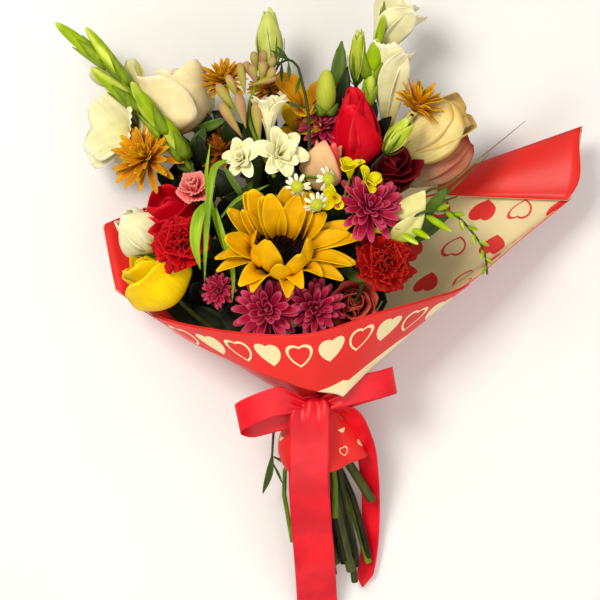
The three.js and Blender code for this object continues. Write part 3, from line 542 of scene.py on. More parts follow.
outlines = {
    "mum": (0.35, 0.55, 0.8, 1, 1, 0.5),
    "mumHeart": (0.5, 0.8, 1, 1, 0.6),
    "carnation": (0.1, 0.14, 0.3, 0.65, 1, 1.05),
    "spray": (0.2, 0.45, 0.85, 1, 0.95),
    "bud": (0.35, 0.85, 1, 1, 0.9, 0.6, 0.1),
    "innerBud": (0.5, 0.9, 1, 0.9, 0.65, 0.2),
    "sepal": (0.9, 1, 0.8, 0.5, 0.1),
    "folded": (0.5, 0.95, 1, 0.8, 0.5, 0.05),
    "trumpet": (0.2, 0.4, 0.72, 1, 0.95, 0.55),
    "gladiolus": (0.2, 0.35, 0.75, 1, 0.95, 0.6),
    "tuberose": (0.25, 0.4, 0.8, 1, 0.95, 0.35),
    "freesia": (0.25, 0.35, 0.75, 1, 1, 0.45),
}


def petalShape(length, width, outline, cup, pitch, cells, **more):
    # the width, the cup and the pitch are read from root to tip, cells are those across and along
    return {"length": length, "width": width, "outline": outlines.get(outline, outline), "cup": cup,
            "pitch": pitch, "across": cells[0], "rows": cells[1], **more}


def ring(count, tone, size, outline, cup, pitch, root, cells, **more):
    # size is a petal's length and width, root how far out and how high it starts
    # tone darkens the ring's petals; its lower values on the inner rings are painted shade
    return {**petalShape(*size, outline, cup, pitch, cells, **more),
            "count": count, "tone": tone, "radius": root[0], "height": root[1]}


bloomKinds = {
    "roseCup": [  # about 60 across and 56 high, the outer petals still up
        ring(5, 0.55, (58, 50), (0.3, 0.85, 1, 1, 0.95, 0.5), (0.7, 0.65, 0.6, 0.5, 0.3, 0),
             (0, 45, 72, 84, 84, 66, 25), (2, 1), (6, 8)),
        ring(5, 0.5, (60, 44), (0.3, 0.85, 1, 1, 0.9, 0.45), (0.8, 0.8, 0.75, 0.7, 0.5, 0.2),
             (10, 58, 80, 90, 92, 84, 55), (2, 1), (6, 8)),
        ring(4, 0.44, (58, 34), (0.4, 0.85, 1, 1, 0.9, 0.5), (1, 1, 0.95, 0.9, 0.8, 0.5),
             (30, 70, 86, 94, 98, 94, 80), (1.5, 2), (6, 7)),
        ring(4, 0.38, (50, 22), (0.5, 0.85, 1, 1, 0.9, 0.5), 1.1, (55, 82, 92, 98, 100, 96), (1, 8), (6, 5)),
    ],
    "roseSide": [  # about 54 across and 60 high, seen from outside, broad smooth petals
        ring(1, 0.62, (68, 62), (0.4, 0.85, 1, 1, 0.95, 0.85, 0.45), (0.45, 0.55, 0.6, 0.6, 0.5, 0.3),
             (0, 46, 72, 84, 88, 82, 60), (10, -2), (8, 8), turn=-14, loose=1),
        ring(1, 0.5, (76, 52), (0.35, 0.8, 1, 1, 0.85, 0.6, 0.08), (0.5, 0.55, 0.6, 0.6, 0.5, 0.4),
             (0, 44, 72, 86, 92, 92, 84), (3, 0), (8, 8), turn=66, loose=1),
        ring(1, 0.55, (66, 50), (0.35, 0.8, 1, 1, 0.9, 0.5), (0.5, 0.55, 0.6, 0.6, 0.5, 0.4),
             (0, 44, 72, 86, 92, 90, 84), (3, 0), (8, 8), turn=-98, loose=1),
        ring(2, 0.52, (72, 48), (0.35, 0.85, 1, 1, 0.9, 0.45), 0.6, (6, 50, 76, 90, 94, 92, 84), (1, 0), (8, 8),
             turn=140, loose=2),
        ring(4, 0.46, (60, 26), (0.5, 0.9, 1, 0.95, 0.8, 0.4), 1, (50, 76, 92, 100, 102, 100), (0, 0), (6, 6),
             loose=3),
    ],
    "smoothBud": [  # about 44 across and 50 high, closed
        ring(1, 0.6, (60, 48), (0.35, 0.85, 1, 1, 0.9, 0.65, 0.1), 0.6, (4, 50, 76, 90, 98, 104, 112), (4, -1),
             (8, 8), turn=0, loose=1),
        ring(2, 0.54, (60, 46), "bud", 0.6, (6, 50, 76, 90, 99, 106, 114), (2.6, 0), (8, 8), turn=80, loose=1),
        ring(1, 0.54, (60, 46), "bud", 0.6, (6, 50, 76, 90, 98, 106, 112), (3, 0), (8, 8), turn=180, loose=1),
        ring(5, 0.4, (26, 6), "sepal", 0.5, (10, 48, 66, 58, 30), (6, -4), (2, 5), turn=30, loose=6,
             paint="sepal"),
    ],
    "foldedRose": [  # about 36 across and 56 high, two large petals come to a point
        ring(1, 0.62, (60, 44), "folded", (0.6, 0.5, 0.4, 0.35, 0.3), (30, 68, 84, 90, 92, 90), (8, 0), (8, 8),
             turn=0, loose=1),
        ring(1, 0.6, (58, 34), "folded", 0.4, (30, 68, 84, 90, 92, 90), (4, 0), (8, 8), turn=36, loose=1,
             paint="coral"),
        ring(2, 0.5, (54, 36), (0.4, 0.85, 1, 0.9, 0.7, 0.2), 0.6, (20, 60, 80, 92, 96, 96), (2, 0), (8, 7),
             turn=110, loose=3),
    ],
    "onePetal": [  # a single pointed petal, 34 across and 56 long
        ring(1, 0.62, (56, 34), (0.55, 0.95, 1, 0.8, 0.5, 0.04), (0.5, 0.4, 0.3, 0.2), (76, 84, 90, 92, 90, 84),
             (2, 0), (8, 8), turn=0, loose=2),
        ring(1, 0.5, (40, 24), (0.5, 0.9, 1, 0.8, 0.5, 0.04), 0.3, (60, 76, 88, 90), (2, -2), (6, 7), turn=60,
             loose=4),
    ],
    "gladiolusSide": [  # about 50 across at the mouth and 62 long, seen from the side
        ring(1, 0.62, (64, 50), "trumpet", (0.8, 0.7, 0.55, 0.4, 0.25), (84, 76, 74, 74, 64, 34), (4, 0),
             (10, 9), turn=-28, loose=2, ruffle=1.5),
        ring(1, 0.56, (60, 46), "trumpet", (0.8, 0.7, 0.55, 0.4, 0.25), (84, 76, 72, 66, 54, 34), (2.5, 1),
             (10, 9), turn=44, loose=2, ruffle=1.2),
        ring(3, 0.5, (62, 44), (0.2, 0.4, 0.75, 1, 0.95, 0.6), (0.8, 0.7, 0.55, 0.4, 0.25),
             (84, 78, 76, 74, 68, 54), (1.5, 1), (10, 8), turn=100, loose=4, ruffle=1.2),
    ],
    "roseBud": [  # about 44 across and 60 high, petals wrapped round a point
        ring(1, 0.6, (60, 50), (0.35, 0.85, 1, 1, 0.85, 0.5, 0.04), (0.6, 0.7, 0.7, 0.65, 0.55, 0.4),
             (8, 50, 78, 90, 95, 92, 80), (4, -1), (8, 8), turn=0, loose=2),
        ring(5, 0.4, (24, 6), "sepal", 0.5, (10, 50, 70, 60, 30), (4, -6), (2, 5), turn=30, loose=6,
             paint="sepal"),
        ring(4, 0.55, (60, 44), (0.3, 0.8, 1, 0.95, 0.75, 0.25), (0.8, 0.8, 0.8, 0.75, 0.6, 0.3),
             (15, 55, 80, 94, 100, 98, 80), (1, 1), (6, 8)),
        ring(4, 0.48, (64, 36), (0.4, 0.85, 1, 0.95, 0.7, 0.25), 0.9, (30, 66, 86, 97, 103, 104, 98), (1, 1),
             (6, 8)),
        ring(3, 0.42, (62, 24), "innerBud", 1.1, (55, 80, 92, 98, 102, 102), (1, 3), (6, 6)),
    ],
    "mum": [  # about 60 across
        ring(15, 0.58, (30, 7.4), "mum", (0.6, 0.5, 0.4, 0.35, 0.4, 0.5), (26, 16, 8, 2, -2, 4), (2, 2), (2, 5),
             loose=9),
        ring(14, 0.56, (28, 7.2), "mum", (0.6, 0.5, 0.4, 0.35, 0.4, 0.5), (42, 34, 26, 20, 18, 26), (2, 3),
             (2, 5), loose=10),
        ring(12, 0.5, (24, 7), "mum", (0.7, 0.6, 0.5, 0.4, 0.5, 0.6), (56, 50, 44, 40, 42, 52), (1.5, 4),
             (2, 5), loose=11),
        ring(9, 0.42, (17, 6), (0.4, 0.7, 0.9, 1, 1, 0.5), 0.7, (68, 62, 58, 60, 70, 92), (1, 5), (2, 5),
             loose=10),
        ring(7, 0.3, (10, 4.4), "mumHeart", 0.8, (78, 80, 88, 100, 118), (0.6, 7), (2, 4), loose=8),
    ],
    "carnation": [  # about 50 across
        ring(9, 0.55, (30, 27), "carnation", (0.8, 0.6, 0.3, 0.1, 0, 0), (75, 70, 50, 22, 6, -4), (1, 6),
             (10, 6), loose=8, ruffle=2.4, teeth=2),
        ring(9, 0.52, (31, 26), "carnation", (0.8, 0.6, 0.3, 0.1, 0, 0), (80, 76, 62, 44, 30, 22), (1, 7),
             (10, 6), loose=10, ruffle=3, teeth=2),
        ring(9, 0.48, (29, 24), "carnation", (0.8, 0.6, 0.3, 0.1, 0, 0), (86, 84, 74, 64, 56, 50), (1, 8),
             (10, 6), loose=12, ruffle=3.4, teeth=2),
        ring(8, 0.42, (26, 20), (0.1, 0.2, 0.4, 0.7, 1, 1), 0.2, (88, 88, 84, 80, 78, 74), (1, 10), (8, 6),
             loose=14, ruffle=3.4, teeth=2),
        ring(3, 0.5, (14, 9), (0.9, 1, 1, 0.9, 0.7), 1, (40, 78, 88, 88, 80), (1, -9), (4, 4), paint="sepal"),
    ],
    "lisianthusCup": [  # about 40 across and 50 high, half closed
        ring(1, 0.6, (60, 50), (0.3, 0.6, 0.9, 1, 1, 0.9, 0.5), (0.7, 0.7, 0.65, 0.6, 0.55, 0.5),
             (35, 60, 72, 80, 88, 96, 110), (3, -1), (8, 9), turn=0, loose=2),
        ring(4, 0.55, (58, 38), (0.3, 0.6, 0.9, 1, 0.95, 0.55), (0.8, 0.8, 0.7, 0.65, 0.6, 0.5),
             (35, 62, 74, 82, 90, 96, 100), (1, 0), (8, 8), loose=9, ruffle=0.5),
        ring(4, 0.45, (54, 28), (0.3, 0.6, 0.9, 1, 1, 0.6), 0.8, (45, 72, 84, 92, 96, 96), (1, 1), (6, 7),
             ruffle=0.6),
    ],
    "gladiolus": [  # about 64 across and 44 deep
        ring(3, 0.6, (58, 52), "gladiolus", (0.8, 0.7, 0.45, 0.25, 0.1, 0), (80, 68, 48, 34, 26, 10), (2, 0),
             (10, 8), ruffle=2.2),
        ring(3, 0.52, (55, 46), "gladiolus", (0.8, 0.7, 0.5, 0.35, 0.2, 0), (84, 76, 60, 48, 42, 32), (1.5, 1),
             (10, 8), ruffle=2.2),
    ],
    "alstroemeria": [  # about 54 across
        ring(3, 0.55, (42, 25), (0.2, 0.35, 0.75, 1, 1, 0.4), (0.7, 0.5, 0.35, 0.3, 0.2), (72, 60, 40, 24, 12),
             (1, 0), (6, 7), ruffle=1),
        ring(3, 0.45, (40, 14), (0.2, 0.35, 0.75, 1, 0.9, 0.3), 0.5, (78, 66, 50, 36, 22), (1, 1), (4, 7)),
    ],
    "tuberose": [  # about 40 across, a double floret
        ring(6, 0.62, (26, 12), "tuberose", (0.8, 0.6, 0.4, 0.3, 0.25), (82, 70, 32, 10, 0), (1, 0), (4, 6),
             loose=8),
        ring(5, 0.58, (23, 11), "tuberose", 0.4, (86, 78, 52, 34, 26), (1, 1), (4, 6), loose=9),
        ring(4, 0.52, (18, 9), (0.3, 0.5, 0.9, 1, 0.9, 0.4), 0.5, (88, 84, 72, 60, 60), (0.6, 3), (4, 5),
             loose=9),
    ],
    "tuberoseSide": [  # about 32 across and 42 long, a trumpet seen from the side
        ring(6, 0.6, (44, 15), (0.3, 0.36, 0.5, 0.85, 1, 0.4), (0.8, 0.7, 0.5, 0.4, 0.3),
             (86, 85, 82, 72, 50, 34), (1.6, 0), (6, 7), loose=5),
        ring(4, 0.54, (38, 12), (0.3, 0.36, 0.6, 1, 0.9, 0.4), 0.5, (87, 86, 84, 78, 66, 56), (1, 1), (4, 7),
             loose=6),
    ],
    "sprayCarnation": [  # about 46 across, few broad ruffled petals
        ring(6, 0.6, (27, 27), "spray", (0.6, 0.4, 0.2, 0.1), (76, 54, 30, 16, 4), (1, 4), (10, 7), ruffle=2.2),
        ring(5, 0.54, (28, 24), "spray", (0.6, 0.5, 0.3, 0.2), (82, 70, 54, 44, 36), (1, 5), (10, 7),
             ruffle=2.4),
        ring(5, 0.42, (27, 18), (0.3, 0.6, 0.9, 1, 0.95), 0.5, (88, 84, 78, 74, 70), (1, 6), (8, 6),
             ruffle=2.4),
    ],
    "freesia": [  # about 26 across
        ring(3, 0.6, (22, 13), "freesia", 0.5, (80, 70, 48, 28, 12), (0.8, 0), (4, 6)),
        ring(3, 0.5, (20, 11), "freesia", 0.5, (84, 76, 60, 46, 34), (0.8, 1), (4, 6)),
    ],
    "daisy": [  # about 18 across
        ring(10, 0.6, (8, 3.4), "mumHeart", 0.3, (10, -4, -14, -24, -34), (3.4, 1), (2, 4), loose=10,
             thick=0.35),
    ],
    "bud": [  # about 24 across and 48 high, petals folded round each other
        ring(4, 0.55, (50, 22), (0.4, 0.85, 1, 0.95, 0.7, 0.1), (0.9, 0.9, 0.85, 0.8, 0.7, 0.5),
             (40, 68, 86, 96, 103, 110), (0.8, 0), (4, 7), loose=3),
        ring(3, 0.48, (50, 15), "innerBud", 1, (60, 80, 92, 98, 100, 98), (0.6, 0), (4, 6), loose=3),
        ring(5, 0.5, (32, 3.6), (0.8, 1, 0.8, 0.4, 0.1), 0.5, (20, 62, 82, 90, 92), (2.6, -1), (2, 5), loose=5,
             paint="sepal"),
    ],
}

bloomKinds["mumFine"] = [{**layer, "count": layer["count"] + 3, "width": layer["width"] * 0.82, "loose": 13,
                          "outline": [0.35, 0.65, 0.95, 1, 0.9, 0.35]} for layer in bloomKinds["mum"]]

# blooms

bloomTable = {
    # node: kind, petal paint, place, facing, how far the base is behind the place, across and high in
    # shares of the kind's own size, turn in degrees, record slot
    "rose_yellow": ("roseSide", "yellow", (-129, 25, 122), (-0.62, 0.66, 0.42), 32, (1.0, 0.8),
        0, "petal_yellow"),
    "rose_white_bud": ("smoothBud", "ivory", (-140, 61, 111), (-0.68, 0.7, 0.2), 24, (0.96, 0.84),
        -8, "petal_white"),
    "rose_red_left": ("roseSide", "red", (-112, 70, 104), (-0.32, 0.72, 0.58), 26, (0.94, 0.84),
        24, "petal_red"),
    "rose_cream": ("roseSide", "cream", (-108, 178, 80), (-0.04, 0.98, 0.14), 30, (1.2, 0.98),
        -30, "petal_cream"),
    "rose_red_upright": ("roseBud", "red", (49, 146, 128), (-0.04, 0.95, 0.3), 34, (0.98, 1.14),
        -12, "petal_red"),
    "rose_two_tone": ("foldedRose", "twoTone", (21, 116, 138), (0.22, 0.92, 0.34), 22, (0.9, 0.84),
        -16, "petal_dusty"),
    "rose_burgundy": ("roseCup", "burgundy", (73, 114, 104), (0.4, 0.5, 0.75), 24, (0.94, 0.88),
        0, "petal_burgundy"),
    "rose_dusty": ("roseCup", "dusty", (46, -4, 110), (0.1, -0.05, 0.97), 22, (0.76, 0.7),
        15, "petal_dusty"),
    "carnation_red": ("carnation", "carnationRed", (-99, 46, 146), (-0.2, 0.3, 0.9), 18, (1.02, 1.05),
        0, "petal_red"),
    "carnation_pink": ("sprayCarnation", "pink", (-90, 92, 142), (-0.1, 0.62, 0.75), 14, (0.7, 0.95),
        10, "petal_pink"),
    "carnation_orange": ("carnation", "orange", (72, 33, 140), (0.25, 0.15, 0.93), 18, (1.1, 1.0),
        25, "petal_orange"),
    "mum_bronze_left": ("mumFine", "bronze", (-134, 124, 104), (-0.35, 0.35, 0.84), 5, (1.08, 1.15),
        0, "petal_bronze"),
    "mum_bronze_top": ("mumFine", "bronze", (-67, 192, 99), (-0.1, 0.7, 0.65), 5, (0.76, 0.95),
        12, "petal_bronze"),
    # its paint is the bronze in painted shade
    "mum_bronze_shaded": ("mumFine", "bronzeShaded", (-67, 133, 84), (-0.2, 0.6, 0.77), 5, (0.8, 0.8),
        40, "petal_bronze"),
    "mum_bronze_middle": ("mumFine", "bronze", (-26, 186, 96), (0, 0.7, 0.7), 5, (0.7, 0.9),
        5, "petal_bronze"),
    "mum_bronze_right": ("mumFine", "bronze", (100, 166, 118), (0.42, 0.86, 0.3), 5, (0.78, 1.25),
        22, "petal_bronze"),
    "mum_magenta_right": ("mum", "magenta", (58, 78, 154), (0.25, 0.3, 0.92), 5, (1.0, 1.0),
        0, "petal_magenta"),
    "mum_magenta_upper": ("mum", "magenta", (21, 152, 114), (0.05, 0.6, 0.8), 5, (0.8, 0.85),
        9, "petal_magenta"),
    "mum_magenta_front": ("mum", "magenta", (-28, -9, 136), (-0.05, 0.1, 0.99), 5, (1.0, 1.1),
        15, "petal_magenta"),
    "mum_magenta_low": ("mum", "magenta", (13, -7, 134), (0.1, 0.05, 0.98), 5, (0.84, 0.95),
        33, "petal_magenta"),
    "mum_magenta_small": ("mum", "magenta", (-70, 8, 132), (-0.15, 0, 0.99), 4, (0.5, 0.6),
        3, "petal_magenta"),
    "alstroemeria_upper": ("alstroemeria", "gold", (3, 173, 112), (0.05, 0.62, 0.78), 16, (1.0, 0.95),
        54, "petal_gold"),
    "alstroemeria_lower": ("alstroemeria", "amber", (-2, 151, 116), (0.05, 0.4, 0.9), 15, (0.72, 0.8),
        20, "petal_yellow"),
    "lisianthus_cream": ("lisianthusCup", "lisianthus", (107, 144, 96), (0.86, 0.48, 0.2),
        34, (1.12, 1.45), -10, "petal_cream"),
    "lisianthus_dusty": ("lisianthusCup", "lisianthusDusty", (120, 118, 76), (0.8, 0.57, 0.2),
        26, (0.74, 1.2), 0, "petal_dusty"),
    "lisianthus_pale": ("onePetal", "paleLime", (94, 73, 150), (0.6, 0.78, 0.1), 26, (0.98, 0.9),
        -12, "petal_cream"),
    "lisianthus_bud_top": ("bud", "paleBud", (-28, 230, 76), (-0.06, 0.98, 0.15), 24, (1.12, 1.08),
        0, "petal_white"),
    "lisianthus_bud_tall": ("bud", "tallBud", (51, 214, 85), (0.05, 0.98, 0.15), 22, (0.78, 0.98),
        20, "petal_white"),
    "lisianthus_bud_right": ("bud", "tallBud", (83, 139, 142), (0.6, 0.76, 0.28), 17, (0.86, 0.78),
        30, "petal_cream"),
    "gladiolus_left_floret_upper": ("gladiolus", "ivory", (-142, 152, 46), (-0.62, 0.12, 0.76),
        0, (1.02, 1.0), 12, "petal_white"),
    "gladiolus_left_floret_lower": ("gladiolus", "white", (-138, 140, 34), (-0.8, 0.05, 0.6),
        0, (0.66, 0.7), 30, "petal_white"),
    "gladiolus_right_floret_upper": ("gladiolusSide", "ivory", (66, 216, 74), (0.46, 0.86, 0.22),
        0, (0.95, 1.0), 0, "petal_white"),
    "gladiolus_right_floret_lower": ("gladiolusSide", "ivory", (77, 148, 78), (0.06, 0.97, 0.22),
        0, (0.78, 1.3), 0, "petal_white"),
}


def baseOf(at, face, back):
    return Vector(at) - Vector(face).normalized() * back


for node, (kind, paint, at, face, back, (wide, high), turn, slot) in bloomTable.items():
    if bloomKinds[kind][0]["count"] == 1:  # its front petal is turned to the viewer
        turn += math.degrees(math.atan2(face[0], -face[1]))
    place = standing(baseOf(at, face, back), face) @ Matrix.Diagonal((wide, wide, high, 1))
    joinPieces(node + "_bloom", growBloom(kind, paint, place, 1.0, turn), [node])
print("blooms ready")

# sunflower

sunflower = {
    "base": (-16, 40, 143), "face": (0, 0.42, 0.91),
    "kinds": {
        "tall": petalShape(45, 21, (0.5, 0.85, 1, 0.98, 0.8, 0.3), (0.5, 0.4, 0.3, 0.3, 0.4),
                           (72, 66, 56, 48, 44, 52), (6, 7), crease=0.4, ruffle=0.5),
        "side": petalShape(50, 18, (0.5, 0.85, 1, 0.95, 0.7, 0.2), (0.5, 0.4, 0.3, 0.2, 0.3),
                           (52, 36, 22, 12, 4, -14), (6, 7), crease=0.5, ruffle=0.6),
        "cupped": petalShape(40, 22, (0.5, 0.85, 1, 0.98, 0.75, 0.2), (0.5, 0.5, 0.4, 0.3, 0.3),
                             (50, 70, 92, 106, 112, 104), (6, 7), crease=0.4, ruffle=0.5),
        "curled": petalShape(42, 18, (0.5, 0.85, 1, 0.95, 0.7, 0.15), (0.5, 0.5, 0.4, 0.3, 0.3),
                             (58, 64, 60, 36, 4, -26), (6, 7), crease=0.5, ruffle=0.6),
    },
    "petals": [
        # kind, angle from the top towards the left, distance from the middle, height, size, roll
        ("tall", 0, 21, 2, 1.0, 6), ("tall", 24, 21, 2, 1.02, -10), ("tall", 47, 22, 2, 0.98, 12),
        ("tall", -22, 21, 2, 0.98, 8), ("tall", -44, 22, 2, 1.0, -12), ("side", -68, 24, 1, 0.92, 10),
        ("side", -86, 23, 2, 0.96, -8), ("side", -103, 23, 0, 0.9, 14), ("side", -122, 23, -1, 0.86, -6),
        ("tall", 74, 24, 1, 1.0, 14), ("tall", 94, 24, 0, 1.04, -8), ("curled", 113, 24, 0, 0.94, 16),
        ("curled", 134, 24, -1, 1.0, -8), ("curled", 158, 22, -1, 0.94, 20), ("curled", 182, 21, -2, 0.86, -16),
        ("curled", 204, 22, -1, 0.88, 8), ("curled", 225, 24, -2, 0.8, -10),
        ("tall", 12, 13, 6, 0.95, -6), ("tall", 36, 15, 6, 0.9, 10), ("tall", -10, 13, 6, 0.92, 12),
        ("tall", -34, 14, 6, 0.96, -8), ("tall", 60, 22, 2, 0.8, 6), ("tall", -56, 22, 3, 0.8, 4),
        ("side", -77, 22, 4, 0.82, 6), ("side", -112, 22, 4, 0.9, -22),
        ("cupped", 82, 23, 2, 0.72, 10), ("cupped", 112, 24, 3, 0.9, -14), ("cupped", 160, 22, 5, 1.22, 6),
        ("cupped", 204, 23, 4, 0.98, -10), ("cupped", 182, 26, 3, 0.86, 6), ("cupped", 232, 24, 2, 0.9, -20),
        ("side", 104, 20, 3, 0.8, 18), ("side", 122, 20, 4, 0.86, 24),
    ],
}


def growSunflower():
    place = standing(sunflower["base"], sunflower["face"])
    shapes = {name: shapePetal("master_sunflower_" + name, kind, "sunflower")
              for name, kind in sunflower["kinds"].items()}
    parts = []
    for name, angle, away, height, size, roll in sunflower["petals"]:
        turn = (place @ rotation(angle + dice.uniform(-3, 3), "Z")
                @ Matrix.Translation(Vector((0, away, height)) * mm)
                @ rotation(dice.uniform(-6, 6), "X") @ rotation(roll, "Y") @ Matrix.Scale(size, 4))
        parts.append(copyOf(shapes[name], turn, 0.48 + dice.uniform(-0.14, 0.14)))
    joinPieces("sunflower_rays", parts, ["sunflower_petals"])
    for shape in shapes.values():
        bpy.data.objects.remove(shape)


growSunflower()

disc = {
    "radius": 27, "thick": 3, "turn": 137.508, "florets": 300, "size": (0.8, 1.25),
    # each inner ring: its width as a share of the radius, how far its inside is raised
    "rings": [(0.2, 2.2), (0.3, 1.6), (0.22, -1.6)],
    # a floret: foot and top radius, length, height of its middle
    "floret": (1.3, 0.7, 4.2, 1.5),
    "lift": 6.8, "rimDrop": 4.6, "heartDrop": 1.6,
}


def discMaterial():
    material, tree, shader = newMaterial("sunflowerDisc", 0.85, specular=0.08)
    cells = cellsOf(tree, objectPlace(tree), 520)
    light = calc(tree, "ADD", calc(tree, "MULTIPLY", cells, 0.6), readAttribute(tree, "tone"))
    colour = blendColour(tree, ramp(tree, light, 0.2, 1.3), linear("#0a0402"), linear("#4a2006"))
    finishLook(tree, shader, colour, cells, 0.5, 0.0005)
    return material


def growDisc():
    paints["disc"] = discMaterial()
    place = standing(sunflower["base"], sunflower["face"])
    size = disc["radius"] * mm
    bpy.ops.mesh.primitive_circle_add(vertices=48, radius=size, fill_type="NGON", location=(0, 0, 0))
    plate = bpy.context.object
    bpy.ops.object.mode_set(mode="EDIT")
    bpy.ops.mesh.extrude_region_move(TRANSFORM_OT_translate={"value": (0, 0, disc["thick"] * mm)})
    for share, up in disc["rings"]:
        bpy.ops.mesh.inset(thickness=size * share, depth=up * mm)
    bpy.ops.mesh.select_all(action="SELECT")
    bpy.ops.mesh.normals_make_consistent(inside=False)
    bpy.ops.object.mode_set(mode="OBJECT")
    foot, top, length, middle = (value * mm for value in disc["floret"])
    bpy.ops.mesh.primitive_cone_add(vertices=5, radius1=foot, radius2=top, depth=length, location=(0, 0, middle))
    floret = bpy.context.object
    for piece in (plate, floret):
        piece.data.materials.append(paints["disc"])
    parts = [copyOf(plate, place, 0.1)]
    count = disc["florets"]
    for i in range(count):
        share = math.sqrt((i + 0.5) / count) * 1.02
        angle = math.radians(disc["turn"] * i)
        lift = disc["lift"] - disc["rimDrop"] * share ** 3 - disc["heartDrop"] * max(0, 1 - share * 3)
        away = Vector((math.cos(angle), math.sin(angle), 0)) * (size * share)
        where = Matrix.Translation((away.x, away.y, lift * mm))
        lean = Matrix.Rotation(share * 0.5, 4, Vector((-math.sin(angle), math.cos(angle), 0)))
        grow = Matrix.Scale(dice.uniform(*disc["size"]), 4)
        tone = max(0, share * 1.1 - 0.35) + dice.uniform(0, 0.15)
        parts.append(copyOf(floret, place @ where @ lean @ grow, tone))
    joinPieces("sunflower_heart", parts, ["sunflower_disc"])
    bpy.data.objects.remove(plate)
    bpy.data.objects.remove(floret)


growDisc()
print("sunflower ready")

# curves, buds and sprays


def readPath(points, t):
    # a smooth curve through the points, centripetal as in part.mjs
    points = [Vector(p) for p in points]
    count, tiny = len(points) - 1, 1e-4
    at = min(max(t, 0), 1) * count
    i = min(int(at), count - 1)
    weight = at - i
    p1, p2 = points[i], points[i + 1]
    p0 = points[i - 1] if i > 0 else p1 * 2 - p2
    p3 = points[i + 2] if i + 2 <= count else p2 * 2 - p1
    before, here, after = ((b - a).length_squared ** 0.25 for a, b in ((p0, p1), (p1, p2), (p2, p3)))
    here = here if here > tiny else 1.0
    before = before if before > tiny else here
    after = after if after > tiny else here
    leave = ((p1 - p0) / before - (p2 - p0) / (before + here) + (p2 - p1) / here) * here
    reach = ((p2 - p1) / here - (p3 - p1) / (here + after) + (p3 - p2) / after) * here
    return hermite(p1, p2, leave, reach, weight)


def hermite(start, end, leave, reach, t):
    # from start to end, with the direction at each
    t2, t3 = t * t, t ** 3
    return (start * (2 * t3 - 3 * t2 + 1) + leave * (t3 - 2 * t2 + t)
            + end * (3 * t2 - 2 * t3) + reach * (t3 - t2))


def headingOf(points, t, step):
    return (readPath(points, min(t + step, 1)) - readPath(points, max(t - step, 0))).normalized()


def growTube(name, points, radii, paint, tone=0.5, sides=3, steps=3):
    bpy.ops.curve.primitive_bezier_curve_add(location=(0, 0, 0))
    tube = bpy.context.object
    tube.name = name
    line = tube.data.splines[0]
    line.bezier_points.add(len(points) - 2)
    for i, knot in enumerate(line.bezier_points):
        knot.co = spot(points[i])
        knot.handle_left_type = knot.handle_right_type = "AUTO"
        knot.radius = radii[0] + (radii[1] - radii[0]) * (i / (len(points) - 1))
    tube.data.bevel_depth = mm
    tube.data.bevel_resolution = sides
    tube.data.resolution_u = steps
    tube.data.use_fill_caps = True
    bpy.ops.object.convert(target="MESH")
    tube = bpy.context.object
    tube.data.materials.append(paints[paint])
    bpy.ops.object.shade_smooth()
    return swapForCopy(tube, tone)


def pointAt(root, tip, roll=0.0):
    return Matrix.Translation(spot(root)) @ turnTo(Vector(tip) - Vector(root)) @ rotation(roll, "Z")


def shapeBud(name, paint, blunt=False):
    # a ball drawn out into a bud, twisted so that its petals seem to lie round each other
    sides, rings, twist, near = 12, 10, 1.2, 0.004
    bpy.ops.mesh.primitive_uv_sphere_add(segments=sides, ring_count=rings, radius=0.5, location=(0, 0, 0))
    bud = bpy.context.object
    bud.name = name
    bpy.ops.object.mode_set(mode="EDIT")
    bpy.ops.transform.translate(value=(0, 0, 0.5))
    for ringIndex in range(1, rings):
        level = 0.5 - 0.5 * math.cos(math.pi * ringIndex / rings)
        middle = (0, 0, level)
        pick(bud, lambda corner: abs(corner.co.z - level) < near)
        wide = 0.2 + 1.0 * level if blunt else 1.02 - 0.25 * max(0, level - 0.4)
        bpy.ops.transform.resize(value=(wide, wide, 1), center_override=middle)
        bpy.ops.transform.rotate(value=level * twist, orient_axis="Z", center_override=middle)
        # a groove along every fourth side
        pick(bud, lambda corner: abs(corner.co.z - level) < near and round(
            (math.atan2(corner.co.y, corner.co.x) - level * twist) / math.tau * sides) % 4 == 0)
        bpy.ops.transform.resize(value=(0.92, 0.92, 1), center_override=middle)
    bpy.ops.object.mode_set(mode="OBJECT")
    addModifier(bud, "SUBSURF", levels=1, render_levels=1)
    bpy.ops.object.shade_smooth()
    bud.data.materials.append(paints[paint])
    return bud


def growBud(master, root, tip, width, tone=0.5, roll=0.0):
    length = (Vector(tip) - Vector(root)).length
    shape = Matrix.Diagonal((width * mm, width * mm, length * mm, 1))
    return copyOf(master, pointAt(root, tip, roll) @ shape, tone)


bract = petalShape(10, 7, (0.8, 1, 0.8, 0.4, 0.05), 0.9, (60, 82, 88, 92), (4, 5), smooth=0)


def sepalRing(root, tip, width, share, paint="stemLime"):
    # three narrow green bracts that clasp a bud's root
    count = 3
    master = masterPetal("bract", count, bract, paint)
    length = (Vector(tip) - Vector(root)).length
    grow = Matrix.Diagonal((width / 9, width / 9, length * share / 10, 1))
    parts = []
    for i in range(count):
        turn = rotation(360 * i / count + dice.uniform(-15, 15), "Z")
        out = Matrix.Translation(Vector((0, width * 0.2, -0.5)) * mm)
        parts.append(copyOf(master, pointAt(root, tip) @ grow @ turn @ out, 0.5 + dice.uniform(-0.2, 0.2)))
    return parts


limeBud = shapeBud("master_bud_lime", "limeBud")
greenBud = shapeBud("master_bud_green", "greenBud")
tuberoseBud = shapeBud("master_bud_tuberose", "tuberoseBud", True)

tie = Vector((11, -89, 62))
endsMiddle = Vector((50, -256, 27))  # of the cut ends
bindingRadius, stemRing = 23, 21.6
axis = (Vector((-25, 96, 105)) - tie).normalized()
right = axis.cross(Vector((0, 0, 1))).normalized()
front = right.cross(axis).normalized()


